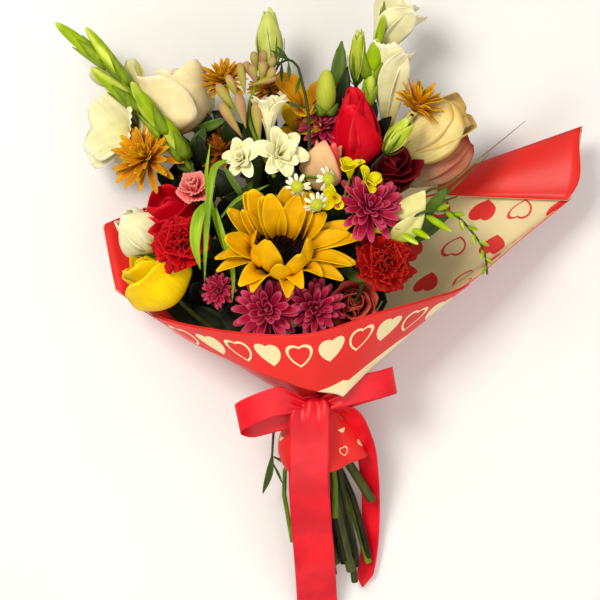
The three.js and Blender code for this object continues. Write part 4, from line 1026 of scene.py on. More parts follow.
def roundPoint(middle, radius, u, along=0.0):
    angle = u * math.tau
    return middle + right * radius * math.sin(angle) + front * radius * math.cos(angle) + axis * along


def sprayPath(turns, spine):
    # a stalk that lies outermost in the bundle, at one angle where it is tied and at one by its end
    atTie, atEnd = turns
    end = (roundPoint(tie, stemRing, atEnd / 360) - tie + endsMiddle).lerp(tie, 0.03)
    half = roundPoint(tie, stemRing, (atTie + atEnd) / 720) - tie + tie.lerp(endsMiddle, 0.55)
    feet = [roundPoint(tie, out, atTie / 360, along) for along, out in ((-20, 19.6), (6, 19.6), (24, 23.6))]
    return [end, half, *feet, *spine]


gladioli = {
    # turns: degrees round the bundle at the tie and at the cut end; buds: root, tip, width;
    # pale: base, facing and size of an opening bud
    "gladiolus_left": {
        "turns": (248, 190),
        "spine": [(-72, 52, 60), (-94, 112, 106), (-120, 148, 110), (-150, 184, 92), (-176, 213, 78)],
        "buds": [((-172, 210, 78), (-219, 248, 80), 13), ((-152, 190, 84), (-191, 243, 86), 13),
                 ((-140, 168, 88), (-185, 206, 94), 14), ((-120, 142, 90), (-149, 193, 96), 15),
                 ((-117, 144, 116), (-143, 184, 120), 16), ((-99, 124, 112), (-123, 162, 120), 16)],
        "pale": [((-144, 180, 66), (-0.25, 0.95, 0.1), (0.42, 0.66)),
                 ((-164, 192, 66), (-0.86, 0.5, 0.1), (0.38, 0.5))]},
    "gladiolus_right": {
        "turns": (170, 130),
        "spine": [(44, 60, 40), (58, 130, 58), (64, 190, 76), (74, 240, 88), (80, 256, 90)],
        "buds": [((76, 246, 88), (85, 286, 92), 12), ((66, 212, 94), (74, 252, 98), 9),
                 ((62, 196, 94), (68, 230, 104), 16), ((59, 174, 88), (64, 206, 100), 14),
                 ((58, 150, 70), (62, 190, 88), 13)],
        "pale": []},
}


def growGladiolus(name, look):
    parts = [growTube(name + "_stalk", sprayPath(look["turns"], look["spine"]), (3, 2.2), "stemLime", 0.4, 2)]
    for root, tip, width in look["buds"]:
        parts.append(growBud(limeBud, root, tip, width, 0.5 + dice.uniform(-0.15, 0.15), dice.uniform(0, 360)))
        parts += sepalRing(root, tip, width * 1.15, 0.62)
    for base, face, (wide, high) in look["pale"]:
        place = standing(base, face) @ Matrix.Diagonal((wide, wide, high, 1))
        parts += growBloom("lisianthusCup", "paleLime", place)
    joinPieces(name + "_spike", parts, [name])


for name, look in gladioli.items():
    growGladiolus(name, look)

tuberose = {
    # florets: kind, place, facing, size; buds: root, tip, width
    "spine": [(-22, 106, 132), (-34, 130, 138), (-44, 160, 138), (-36, 190, 130)],
    "florets": [("tuberose", (-45, 119, 141), (-0.35, 0.15, 0.9), 1.0),
                ("tuberose", (-20, 122, 143), (0.3, 0.15, 0.94), 1.22),
                ("tuberoseSide", (-26, 134, 141), (0.02, 0.94, 0.3), 0.98)],
    "buds": [((-47, 176, 138), (-51.5, 203, 142), 10), ((-52, 170, 140), (-62, 192, 146), 10),
             ((-54, 160, 140), (-71, 184, 146), 12), ((-46, 146, 142), (-53, 176, 152), 12),
             ((-49, 138, 142), (-68, 168, 150), 12), ((-34, 134, 144), (-38, 168, 152), 12),
             ((-42, 184, 138), (-20, 190, 142), 9), ((-41, 190, 134), (-47, 204, 140), 10),
             ((-37, 194, 132), (-40, 213, 138), 10), ((-33, 195, 132), (-31, 214, 138), 10),
             ((-30, 192, 134), (-22, 208, 140), 10), ((-37, 184, 138), (-42, 200, 148), 11),
             ((-33, 186, 138), (-31, 203, 148), 11), ((-30, 184, 138), (-22, 198, 146), 10)],
}


def growTuberose():
    parts = [growTube("tuberose_stalk", tuberose["spine"], (2, 1.4), "stemLime", 0.5, 2)]
    for kind, at, face, grow in tuberose["florets"]:
        place = standing(at, face) @ Matrix.Scale(grow, 4)
        parts += growBloom(kind, "tuberose", place, spin=dice.uniform(0, 60))
    for root, tip, width in tuberose["buds"]:
        parts.append(growBud(tuberoseBud, root, tip, width, 0.5, dice.uniform(0, 360)))
    joinPieces("tuberose_spray", parts, ["tuberose"])


growTuberose()

freesia = {
    # florets: place and facing; yellow: root and tip of the open buds on the arc
    "spine": [(40, 75, 132), (38, 86, 149), (40, 98, 160)],
    "florets": [((32, 87, 152), (-0.4, -0.15, 0.9)), ((52, 98, 156), (0.6, 0.3, 0.75)),
                ((42, 103, 156), (0, 0.85, 0.5))],
    "arc": [(68, 60, 150), (90, 68, 156), (108, 75, 158), (127, 74, 156), (144, 60, 150), (157, 42, 142),
            (161, 22, 132)],
    "yellow": [((84, 58, 148), (56, 60, 154)), ((84, 58, 148), (100, 47, 156)), ((92, 62, 150), (110, 52, 154)),
               ((106, 72, 152), (128, 58, 156))],
    "smallBuds": 10,
}


def growFreesia():
    parts = [growTube("freesia_stalk", freesia["spine"], (1.6, 1.2), "stemLime", 0.5, 2)]
    for at, face in freesia["florets"]:
        parts += growBloom("freesia", "lemon", standing(at, face), 0.88, dice.uniform(0, 60))
        parts.append(growTube("freesia_stalk", [freesia["spine"][1], at], (1, 1), "stemLime", 0.5, 1))
    joinPieces("freesia_open", parts, ["freesia_florets"])
    parts = [growTube("freesia_arc", [readPath(freesia["arc"], i / 12) for i in range(13)], (1.5, 0.8),
                      "sprig", 0.5, 2)]
    for root, tip in freesia["yellow"]:
        stalk = [root, Vector(root).lerp(Vector(tip), 0.4)]
        parts.append(growTube("freesia_arc", stalk, (0.9, 0.9), "sprig", 0.5, 1))
        parts.append(growBud(limeBud, root, tip, 6.5, 0.8, dice.uniform(0, 360)))
    # small buds on either side of the outer part of the arc, smaller towards its end
    for i in range(freesia["smallBuds"]):
        t = 0.4 + 0.06 * i
        root = readPath(freesia["arc"], t)
        ahead = headingOf(freesia["arc"], t, 0.02)
        side = ahead.cross(front) * (1 if i % 2 else -1)
        tip = root + ahead * (10 - 0.3 * i) + side * 5 + front * 3
        parts.append(growBud(limeBud, root, tip, 5 - 0.2 * i, 0.25, dice.uniform(0, 360)))
    joinPieces("freesia_arch", parts, ["freesia_buds"])


growFreesia()

feverfew = {"foot": (1, 106, 142), "heads": [(-2, 96, 164), (13, 81, 170), (22, 102, 163)],
            "heartRadius": 5.5, "heartHigh": 0.85, "heartLift": 3, "stalkBend": 8}


def heartMaterial():
    material, tree, shader = newMaterial("feverfewHeart", 0.7, sheen=0.2)
    cells = cellsOf(tree, objectPlace(tree), 900)
    finishLook(tree, shader, blendColour(tree, cells, linear("#cfd010"), linear("#8c9a06")), cells, 0.6, 0.0004)
    return material


def growFeverfew():
    paints["feverfewHeart"] = heartMaterial()
    foot = Vector(feverfew["foot"])
    bpy.ops.mesh.primitive_uv_sphere_add(segments=16, ring_count=10, radius=feverfew["heartRadius"] * mm,
                                         location=(0, 0, 0))
    ball = bpy.context.object
    bpy.ops.object.mode_set(mode="EDIT")
    bpy.ops.transform.resize(value=(1, 1, feverfew["heartHigh"]))
    bpy.ops.transform.translate(value=(0, 0, feverfew["heartLift"] * mm))
    bpy.ops.object.mode_set(mode="OBJECT")
    bpy.ops.object.shade_smooth()
    ball.data.materials.append(paints["feverfewHeart"])
    parts = []
    for at in feverfew["heads"]:
        head = Vector(at)
        bend = foot.lerp(head, 0.5)
        bend.z = head.z - feverfew["stalkBend"]
        parts.append(growTube("feverfew_stalk", [foot, bend, head], (1.1, 0.8), "stemLime", 0.6, 1))
        place = standing(head, head - foot)
        parts.append(copyOf(ball, place, 0.5))
        parts += growBloom("daisy", "white", place)
    bpy.data.objects.remove(ball)
    joinPieces("feverfew_daisies", parts, ["feverfew"])


growFeverfew()
print("sprays ready")

# wrapping paper

paper = {
    # the rim goes round from the front, and is straight on both sides of the sharp corners
    "rim": [(8, -28, 163), (64, -11, 150), (113, 2, 120), (149, 15, 94), (200, 56, 72), (246, 92, 55),
            (258, 159, 48), (131, 116, 0), (0, 106, 0), (-122, 98, 0), (-180, 68, 48), (-166, 9, 72),
            (-122, -15, 106), (-55, -27, 146)],
    "sharp": (6, 7, 9, 10),
    # the throat where it is tied, the hem of the skirt below it and how far down the stems that is
    "throat": 24.5, "throatHalf": (-14, 12), "throatEnd": 0.1, "hem": 35, "hemAt": 0.335, "skirtBulge": 9,
    "sag": 22, "floor": 0.5, "columns": 168, "rows": 44, "thick": 0.8, "wrinkle": 0.9,
    "red": "#e0261f", "cream": "#ead8a6", "heart": "#d92a24",
    # the print: a cell's width, its height as a share of it, a heart's size as a share, how the cone
    # is laid flat and how the print lies on the flat sheet
    "cell": 39.8, "rowRatio": 1.05, "heartSize": 0.27, "rowShift": -0.287, "line": 0.8,
    "apex": 40, "unroll": 2.85, "middle": 5 / 14, "across": 134, "along": 44,
    "printTurn": 262, "printShift": (1.535, 0.222),
}


def rimPoint(u):
    # straight beside the two corners, smooth elsewhere
    rim = paper["rim"]
    count = len(rim)
    at = (u % 1) * count
    low = int(at) % count
    share = at - int(at)
    p0, p1, p2, p3 = (Vector(rim[(low + i) % count]) for i in (-1, 0, 1, 2))
    if low in paper["sharp"] or (low + 1) % count in paper["sharp"]:
        return p1.lerp(p2, share)
    first, last = (p2 - p0) * 0.5, (p3 - p1) * 0.5
    if (low - 1) % count in paper["sharp"]:
        first = p2 - p1
    if (low + 2) % count in paper["sharp"]:
        last = p2 - p1
    return hermite(p1, p2, first, last, share)


def paperPoint(u, v):
    # u goes round the tie from the front, v from the skirt's hem at -1 over the tie at 0 to the rim at 1
    low, high = paper["throatHalf"]
    throatEnd = paper["throatEnd"]
    place = roundPoint(tie, paper["throat"], u, low + (high - low) * min(max(v / throatEnd, 0), 1))
    if v < 0:
        pleat = 1 + 0.1 * math.cos(u * math.pi * 10)
        hem = roundPoint(tie.lerp(endsMiddle, paper["hemAt"]), paper["hem"] * pleat, u)
        place = place.lerp(hem, -v)
        place -= right * paper["skirtBulge"] * math.sin(math.pi * -v) * max(0, -math.sin(u * math.tau))
    if v > throatEnd:
        t = (v - throatEnd) / (1 - throatEnd)
        place = place.lerp(rimPoint(u), t)
        place.z -= paper["sag"] * math.sin(math.pi * t) * max(0, -math.cos(u * math.tau))
    place.z = max(place.z, paper["floor"])
    return place


def paperNormal(u, v):
    around, up = 1 / 56, 0.05
    lower = max(v - up, paper["throatEnd"]) if v > paper["throatEnd"] else v - up
    alongU = paperPoint(u + around, v) - paperPoint(u - around, v)
    alongV = paperPoint(u, min(v + up, 1)) - paperPoint(u, lower)
    return alongU.cross(alongV).normalized()


def wrinkles(u, v):
    # folds that run from the tie towards the rim, deeper near the tie
    run = math.sin(u * 50.27 + 2.1 * math.sin(u * 18.85)) * 0.6 + math.sin(u * 94.25 + 1.3) * 0.4
    return paper["wrinkle"] * run * max(0, 1 - abs(v) * 1.05)


# stems, leaves and grass


def atBinding(base, limit=13):
    # where the straight line to the base passes the binding, drawn in to the limit
    apex = tie - axis * coneHeight
    along = Vector(base) - apex
    crossing = apex + along * (coneHeight / along.dot(axis)) - tie
    off = crossing.length
    return crossing * (limit * math.tanh(off / limit)) / off


stemDice = random.Random(5)
coneHeight = 45  # the stems' cone ends this far below the tie
bundle = {"spiral": 0.5, "widen": 1.1, "endShift": (-7, 4, 0), "uneven": 0.12,
          "below": 16, "above": 14, "neck": 24}


def stemPath(base, face, via=()):
    # from the cut end through the tie to a bloom's base, which it meets along its facing
    base, face = Vector(base), Vector(face).normalized()
    offset = atBinding(base)
    low = Matrix.Rotation(bundle["spiral"], 3, axis) @ (offset * bundle["widen"])
    end = (endsMiddle + Vector(bundle["endShift"]) + low).lerp(tie, bundle["uneven"] * stemDice.random())
    under, over = tie + offset - axis * bundle["below"], tie + offset + axis * bundle["above"]
    before = base - face * bundle["neck"]
    return [end, under, over, *(via or [over.lerp(before, 0.5)]), before, base]


# way points of single stems, and the stem that a stem branches off
stemVias = {"mum_bronze_right": [(66, 110, 74)], "mum_magenta_right": [(34, 0, 78)],
            "carnation_orange": [(76, -2, 80)], "lisianthus_bud_right": [(60, 92, 128)]}
sprayStems = [
    # base, facing, way points: tuberose, freesia, freesia arc, feverfew
    ((-22, 106, 132), (-0.3, 0.4, 0.8), ()), ((40, 75, 132), (0, 0.3, 0.9), ()),
    ((68, 60, 150), (0, 0.5, 0.8), [(74, 4, 84)]), ((1, 106, 142), (0, 0.5, 0.85), ()),
]
branches = {"mum_bronze_top": "mum_bronze_left", "mum_bronze_shaded": "mum_bronze_left",
            "mum_bronze_middle": "mum_bronze_left", "mum_magenta_upper": "mum_magenta_right",
            "mum_magenta_low": "mum_magenta_front", "mum_magenta_small": "mum_magenta_front",
            "lisianthus_bud_tall": "lisianthus_bud_top"}


def stemOf(node):
    kind, paint, at, face, back = bloomTable[node][:5]
    return stemPath(baseOf(at, face, back), face, [Vector(p) for p in stemVias.get(node, ())])


def mapGrid(name, columns, rows, place):
    # a flat grid whose corners are laid on a surface, place(u, v)
    bpy.ops.mesh.primitive_grid_add(x_subdivisions=columns, y_subdivisions=rows, size=1, location=(0, 0, 0))
    piece = bpy.context.object
    piece.name = name
    for corner, (u, v) in zip(piece.data.vertices, gridShares(columns, rows)):
        corner.co = spot(place(u, v))
    return piece


def gridShares(columns, rows):
    return [(column / columns, row / rows) for row in range(rows + 1) for column in range(columns + 1)]


def growBlade(points, width, paint, outline=(0.15, 0.6, 0.9, 1, 0.9, 0.6, 0.1), trough=0.25, up=None, tone=0.5,
              rows=12, wave=0.0):
    up = up or front
    points = [Vector(p) for p in points]
    phase = dice.uniform(0, 6)
    readings = 40  # of the outline

    def place(u, v):
        ahead = headingOf(points, v, 0.02)
        side = ahead.cross(up).normalized()
        half = spread(outline, readings + 1)[round(v * readings)] * width / 2
        x = u * 2 - 1
        lift = trough * x * x * half + wave * math.sin(v * 19 + phase + x) * abs(x)
        return readPath(points, v) + side * x * half + side.cross(ahead) * lift

    leaf = mapGrid("blade", 4, rows, place)
    thicken(leaf, 0.45)
    leaf.data.materials.append(paints[paint])
    return swapForCopy(leaf, tone)


blade = {"outline": (0.25, 0.7, 1, 1, 0.85, 0.5, 0.05), "rows": 20, "trough": 0.45, "up": Vector((0.25, 0, 1))}
grass = {"outline": (0.8, 1, 1, 0.9, 0.7, 0.4, 0.05), "rows": 24, "trough": 0.5}
sprigLeaf = {"outline": (0.2, 0.4, 0.9, 1, 0.5, 0.05), "rows": 6}
leaves = [
    # root, tip, width, paint, wave
    ((-60, 40, 92), (-112, 58, 126), 20, "darkLeafAndShade", 1.2),
    ((-46, -46, 74), (-96, -4, 84), 26, "darkLeafAndShade", 1.2),
    ((-58, -34, 66), (-126, 2, 74), 24, "darkLeafAndShade", 1.2),
    ((-30, -48, 82), (-72, -6, 96), 24, "darkLeafAndShade", 1.2),
    ((-70, -12, 62), (-132, 20, 72), 22, "darkLeafAndShade", 1.2),
    ((-40, 90, 88), (-44, 168, 112), 20, "darkLeafAndShade", 1.2),
    ((22, 112, 62), (10, 172, 56), 17, "leafMid", 0.8),
    ((76, 48, 80), (132, 74, 86), 17, "leafMid", 0.8),
    ((30, 176, 84), (37, 229, 94), 14, "leafMid", 0.8),
    ((30, 150, 88), (42, 206, 96), 14, "darkLeafAndShade", 0.8),
    ((-98, 126, 78), (-84, 152, 96), 14, "leafMid", 0.8),
    ((-96, 150, 84), (-64, 160, 98), 9, "leafMid", 0.5),
    ((-112, 132, 84), (-92, 112, 112), 14, "leafMid", 0.8),
    ((108, 76, 104), (128, 98, 118), 10, "leafMid", 0.6),
    ((-40, 104, 128), (-60, 70, 146), 9, "leafMid", 0.6),
    ((0, -4, 118), (-6, -24, 142), 9, "leafMid", 0.6),
    ((34, 30, 120), (56, 16, 140), 10, "leafMid", 0.6),
]
blades = [
    # points of long leaves in front of the blooms, widest width, paint
    ([(-58, 20, 96), (-70, 60, 130), (-79, 100, 158), (-76, 132, 156)], 4.5, "grass"),
    ([(-62, 118, 158), (-71, 112, 163), (-76, 90, 166), (-79, 50, 166), (-81, 14, 150)], 6, "grass"),
    ([(-78, 82, 164), (-85, 70, 170), (-88, 48, 170), (-84, 26, 160)], 10, "grass"),
    ([(-71, 78, 158), (-63, 48, 160), (-57, 24, 152), (-58, -2, 136)], 4.5, "grass"),
    ([(-64, 112, 158), (-54, 96, 156), (-46, 84, 148)], 6, "leafMid"),
    ([(-70, 66, 152), (-54, 84, 156), (-38, 92, 154), (-26, 98, 150)], 3.2, "grass"),
]
grasses = [
    # points from inside the bouquet, width, paint
    ([(70, 40, 78), (112, 96, 84), (128, 100, 104), (150, 118, 122), (194, 154, 134)], 2.6, "straw"),
    ([(70, 40, 78), (106, 72, 96), (122, 88, 104), (136, 100, 110), (166, 128, 112)], 3.4, "leafMid"),
    ([(70, 40, 78), (104, 62, 96), (122, 84, 100), (140, 92, 96)], 6, "leafMid"),
]
sprig = {
    "paleBud": ((22, 160, 118), (23, 200, 124), 19),
    "stem": [(8, 100, 120), (8, 132, 140), (7, 160, 138), (2, 186, 132), (-6, 206, 126), (-16, 206, 122),
             (-22, 196, 124)],
    "buds": [((-6, 206, 126), (-26, 216, 126)), ((-10, 208, 124), (-20, 220, 122)),
             ((-14, 206, 122), (-28, 204, 122)), ((-16, 206, 122), (-16, 188, 126)),
             ((-10, 206, 124), (-9, 190, 128)), ((-22, 196, 124), (-30, 190, 124)),
             ((0, 192, 130), (-4, 176, 136)), ((4, 164, 140), (-14, 170, 142))],
}
fillers = {
    "seed": 11, "step": 12.5, "length": (22, 38), "width": (12, 18), "rows": (-3, 17), "columns": (-11, 11),
    # half the bed's width to the left, to the right and in front; behind "narrowFrom" it narrows
    "half": (128, 110, 118), "narrowFrom": 70, "narrowing": 0.0052, "shift": 8, "slant": 0.06,
    "rimUpTo": 96, "turnInUpTo": 90, "back": 166, "openCorner": (84, 104), "leftEnd": -130,
    # heights: at the sides, how much higher in the middle, over the paper, and a paper too high for leaves
    "low": 66, "rise": 30, "overPaper": 6, "highFloor": 116, "cell": 8,
}


def overTie(root):
    return tie + atBinding(root) + axis * bundle["above"]


def growStems():
    parts = []
    for node in bloomTable:
        if node.startswith("gladiolus"):
            continue
        path = stemOf(node)
        if node in branches:  # it leaves the other stem above the tie
            path = [stemOf(branches[node])[3]] + path[4:]
        radius = 2.8 if node.startswith("rose") else 2.1
        parts.append(growTube("stem", path, (radius * 1.25, radius * 0.8), "stem", dice.uniform(0.0, 0.7), 2))
    parts.append(growTube("stem", stemPath(sunflower["base"], sunflower["face"]), (4.2, 4), "stem", 0.6, 3))
    for base, face, via in sprayStems:
        via = [Vector(p) for p in via]
        parts.append(growTube("stem", stemPath(base, face, via), (2.6, 1.4), "stem", dice.uniform(0.0, 0.6), 1))
    for root, tip, width, paint, wave in leaves:
        root, tip = Vector(root), Vector(tip)
        middle = root.lerp(tip, 0.5) + front * 5
        parts.append(growBlade([root, middle, tip], width, paint, tone=dice.uniform(0.3, 0.7), wave=wave))
        over = overTie(root)
        stalk = [over, over.lerp(root, 0.6), root.lerp(tip, 0.08)]
        parts.append(growTube("stem", stalk, (1.5, 1.2), "stem", 0.5, 1))
    for points, width, paint in grasses:
        points = [overTie(points[0]), *points]
        parts.append(growBlade(points, width, paint, tone=dice.uniform(0.4, 0.7), **grass))
    for points, width, paint in blades:
        parts.append(growBlade(points, width, paint, tone=dice.uniform(0.45, 0.75), **blade))
    return parts


def growSprig():
    # a thin stalk that nods over the blooms, with small buds, and a pale bud by it
    parts = [growTube("sprig", sprig["stem"], (1.7, 0.9), "sprig", 0.3, 2)]
    root, tip, width = sprig["paleBud"]
    parts.append(growBud(greenBud, root, tip, width, 0.6, 40))
    parts += sepalRing(root, tip, width, 0.3, "sepal")
    for root, tip in sprig["buds"]:
        bend = Vector(root).lerp(Vector(tip), 0.5) + front * 2
        parts.append(growBlade([root, bend, tip], 3.6, "sprig", tone=dice.uniform(0.2, 0.7), **sprigLeaf))
    return parts


cutStems = [
    # end, a point part way, radius, paint, tone: stems that stand apart from the bundle
    ((66, -184, 38), (40, -142, 52), 4.4, "stem", 0.7),
    ((70, -165, 30), (52, -140, 40), 3.4, "stemLime", 0.3),
    ((64, -240, 16), (48, -180, 34), 3, "stem", 0.1),
    ((51, -262, 20), (40, -190, 40), 3.2, "stem", 0.55),
    ((32, -198, 54), (30, -150, 60), 2.6, "stemLime", 0.2),
    ((38, -244, 12), (32, -180, 30), 3.6, "stem", 0.2),
    ((33, -240, 14), (28, -170, 36), 3.4, "stem", 0.0),
    ((44, -238, 34), (34, -170, 44), 3.4, "stem", 0.1),
    ((-7, -226, 12), (-14, -158, 28), 2.2, "stemLime", 0.3),
]
# a sprig that hangs out of the bundle; leaves: root, bend, tip, width
trailing = {"stem": [(-10, -98, 62), (-22, -114, 60), (-25, -136, 56), (-26, -152, 50)],
            "leaves": [((-25, -140, 54), (-28, -158, 50), (-34, -177, 44), 6.5),
                       ((-25, -142, 54), (-17, -146, 52), (-11, -150, 50), 3),
                       ((-25, -148, 52), (-20, -158, 50), (-16, -168, 46), 2.4)]}


def growCutStems():
    parts = []
    for end, part, radius, paint, tone in cutStems:
        part = Vector(part)
        over = tie + atBinding(part + axis * 300, 10) + axis * 6
        start = tie - axis * 14 + (part - tie).normalized() * 9
        parts.append(growTube("stem", [over, start, part, end], (radius * 0.8, radius), paint, tone, 3))
    parts.append(growTube("stem", trailing["stem"], (1.3, 1), "sprig", 0.6, 2))
    for root, bend, tip, width in trailing["leaves"]:
        parts.append(growBlade([root, bend, tip], width, "sprig", tone=0.6, rows=8, wave=0.4))
    return parts


def cellOf(x, y):
    return round(x / fillers["cell"]), round(y / fillers["cell"])


def paperFloor():
    # how high the paper's inner face lies, cell by cell, and the rim's outline
    around, up, rimSteps = 240, 40, 84
    heights = {}
    for i in range(around):
        for j in range(3, up + 1):
            at = paperPoint(i / around, j / up)
            cell = cellOf(at.x, at.y)
            heights[cell] = max(heights.get(cell, -9), at.z)
    return heights, [rimPoint(i / rimSteps) for i in range(rimSteps)]


def insideRim(rim, x, y):
    inside = False
    for a, b in zip(rim, rim[1:] + rim[:1]):
        if (a.y > y) != (b.y > y) and x < a.x + (b.x - a.x) * (y - a.y) / (b.y - a.y):
            inside = not inside
    return inside


def growFillers():
    # a bed of dark leaves deep in the bouquet, so that the gaps between blooms are closed: dark foliage that also
    # stands as painted shade between the blooms
    toss = random.Random(fillers["seed"])
    heights, rim = paperFloor()
    step = fillers["step"]
    parts = []
    for row, column in ((r, c) for r in range(*fillers["rows"]) for c in range(*fillers["columns"])):
        x = (column + toss.uniform(-0.5, 0.5)) * step
        y = (row + toss.uniform(-0.5, 0.5)) * step
        left, right, half = fillers["half"]
        if y > fillers["narrowFrom"]:
            half = (left if x < 0 else right) - fillers["narrowing"] * (y - fillers["narrowFrom"]) ** 2
        inside = insideRim(rim, x, y)
        if abs(x + fillers["shift"] - fillers["slant"] * y) > half or (y < fillers["rimUpTo"] and not inside):
            continue
        near = 1 - (abs(x) / 150) ** 2
        z = fillers["low"] + fillers["rise"] * near * toss.random() - 0.1 * max(0, y - 110)
        under = heights.get(cellOf(x, y), 0) if inside else 0
        cornerX, cornerY = fillers["openCorner"]
        if under > fillers["highFloor"] or y > fillers["back"] or (x > cornerX and y < cornerY):
            continue
        root = Vector((x, y - 10, max(z, under + fillers["overPaper"])))
        away = Vector((toss.uniform(-0.9, 0.9), toss.uniform(-0.2, 1), toss.uniform(0, 0.6))).normalized()
        long = toss.uniform(*fillers["length"])
        tip = root + away * long
        # a leaf that would leave the paper grows towards the middle, or not at all
        isNear, strays = y < fillers["turnInUpTo"], not insideRim(rim, tip.x, tip.y - 10)
        if x > 60 or (isNear and strays):
            tip = root + Vector((-abs(away.x) if x > 0 else abs(away.x), abs(away.y), away.z)) * long
        if isNear and not (insideRim(rim, root.x, root.y - 10) and insideRim(rim, tip.x, tip.y - 10)):
            continue
        bend = root.lerp(tip, 0.5) + Vector((0, 0, toss.uniform(1, 6)))
        wide, tone = toss.uniform(*fillers["width"]), toss.uniform(0.0, 0.55)
        if y > 60 and min(root.x, tip.x) < fillers["leftEnd"]:
            continue
        # near-black leaves with low tones: dark foliage and painted shade in the gaps
        parts.append(growBlade([root, bend, tip], wide, "darkLeafAndShade", tone=tone, rows=5, wave=0.8))
    return parts


greens = growStems() + growCutStems() + growSprig() + growFillers()
joinPieces("stems_and_greens", greens, ["stems_and_leaves"])
print("stems ready")

# wrapping paper, its finish and its parts


def printMaterial(name, ground, ink, gloss, heartSize, mask):
    # mask: the piece's attribute that says where the print is
    material, tree, shader = newMaterial(name, gloss, specular=0.3)
    place, ground, ink = objectPlace(tree), linear(ground), linear(ink)
    hearts = groupNode(tree, heartPrint, {
        "Vector": ownMap(tree), "Heart Size": heartSize, "Line": paper["line"], "Row Shift": paper["rowShift"],
        "Row Ratio": paper["rowRatio"]})[0]
    if mask:
        inked = calc(tree, "GREATER_THAN", readAttribute(tree, mask), 0.5)
        hearts = calc(tree, "MULTIPLY", hearts, inked)
    soft, fibre = noise(tree, place, 14, 3), noise(tree, place, 900, 2)
    dark = tuple(c * 0.86 for c in ground[:3]) + (1,)
    colour = blendColour(tree, ramp(tree, soft, 0.3, 0.7), dark, ground)
    colour = blendColour(tree, hearts, colour, ink)
    if mask == "band":  # its lower edge shows the sheet's cream side
        edge = calc(tree, "GREATER_THAN", readAttribute(tree, "creamEdge"), 0.5)
        colour = blendColour(tree, edge, colour, ink)
    height = calc(tree, "ADD", fibre, calc(tree, "MULTIPLY", soft, 6))
    finishLook(tree, shader, colour, height, 0.2, 0.0005)
    return material


paints["paperOut"] = printMaterial("paperOut", paper["red"], paper["cream"], 0.42, 0.2, "skirt")
paints["paperBand"] = printMaterial("paperBand", paper["red"], paper["cream"], 0.42, 0.36, "band")
paints["paperIn"] = printMaterial("paperIn", paper["cream"], paper["heart"], 0.5, paper["heartSize"], None)


def setAttribute(piece, name, values):
    layer = piece.data.attributes.new(name, "FLOAT", "POINT")
    layer.data.foreach_set("value", values)


def weld():
    bpy.ops.object.mode_set(mode="EDIT")
    bpy.ops.mesh.select_all(action="SELECT")
    bpy.ops.mesh.remove_doubles(threshold=0.00005)
    bpy.ops.object.mode_set(mode="OBJECT")


def finishPaper(sheet, uvAt, first, second, closed=False):
    layer = sheet.data.uv_layers["UVMap"]
    for loop in sheet.data.loops:
        layer.data[loop.index].uv = uvAt(loop.vertex_index)
    sheet.data.materials.append(paints[first])
    sheet.data.materials.append(paints[second])
    if closed:
        weld()
    thicken(sheet, paper["thick"], material_offset=1)
    return sheet


def unrolled(u, v):
    # where a point of the paper lies on the flat sheet, in print cells, turned so that the hearts of
    # the right corner stand on their tips as the sheet is wound
    away = (paperPoint(u, v) - (tie - axis * paper["apex"])).length / paper["cell"]
    turn = (u - paper["middle"]) * paper["unroll"]
    x, y = away * math.sin(turn), away * math.cos(turn)
    across, along, up = (math.radians(paper[key]) for key in ("across", "along", "printTurn"))
    seen = Vector((x * math.cos(across) + y * math.cos(along), x * math.sin(across) + y * math.sin(along)))
    return (seen.dot(Vector((math.sin(up), -math.cos(up)))) + paper["printShift"][0],
            seen.dot(Vector((math.cos(up), math.sin(up)))) + paper["printShift"][1])


def growPaper():
    columns, rows = paper["columns"], paper["rows"]

    def place(u, share):
        v = share * 2 - 1
        return paperPoint(u, v) + paperNormal(u, v) * wrinkles(u, v)

    sheet = mapGrid("wrapping_sheet", columns, rows, place)
    coords = [(u, share * 2 - 1) for u, share in gridShares(columns, rows)]
    setAttribute(sheet, "skirt", [1.0 if v < -0.3 else 0.0 for u, v in coords])

    def uvAt(index):
        u, v = coords[index]
        return (u * 9 + 0.05, v * 2.4 + 0.2) if v < -0.2 else unrolled(u, v)

    return finishPaper(sheet, uvAt, "paperOut", "paperIn", closed=True)


leftCorner = {"around": (0.69, 0.803), "low": 0.35, "inside": 1.6, "swell": 1.2}
rightFlap = {"fold": [(134, 117, 1.4), (257, 158.4, 48)], "edge": [(128, 98, 14), (242, 90, 60)],
             "lift": (-0.35, -0.05, 0.93), "bulge": 3.5, "belly": 8}


def growLeftCorner():
    # the left corner is folded in, so that the red side shows
    start, end = leftCorner["around"]

    def place(x, y):
        u = start + (end - start) * x
        v = leftCorner["low"] + (1 - leftCorner["low"]) * y
        depth = leftCorner["inside"] + leftCorner["swell"] * math.sin(x * 9) * (1 - y)
        return paperPoint(u, v) - paperNormal(u, v) * depth

    fold = mapGrid("wrapping_corner", 20, 12, place)
    setAttribute(fold, "skirt", [0.0] * len(fold.data.vertices))
    return finishPaper(fold, lambda i: (i * 0.01, 0), "paperOut", "paperOut")


def growFlap():
    # the right corner lies folded over, with its red side up
    (foldStart, foldEnd), (edgeStart, edgeEnd) = ([Vector(p) for p in rightFlap[key]] for key in ("fold", "edge"))

    def place(u, v):
        low, edge = foldStart.lerp(foldEnd, u), edgeStart.lerp(edgeEnd, u)
        bulge = Vector(rightFlap["lift"]) * (1 + rightFlap["bulge"] * math.sin(math.pi * min(v * 1.2, 1)))
        belly = Vector((rightFlap["belly"] * u ** 6 * math.sin(math.pi * v ** 1.8), 0, 0))
        return low.lerp(edge, v) + bulge + belly

    flap = mapGrid("wrapping_flap", 16, 10, place)
    setAttribute(flap, "skirt", [0.0] * len(flap.data.vertices))
    return finishPaper(flap, lambda i: unrolled(0.4, 0.8), "paperIn", "paperOut")


joinPieces("wrapping_sheet", [growPaper(), growFlap(), growLeftCorner()], ["wrapping_paper"])

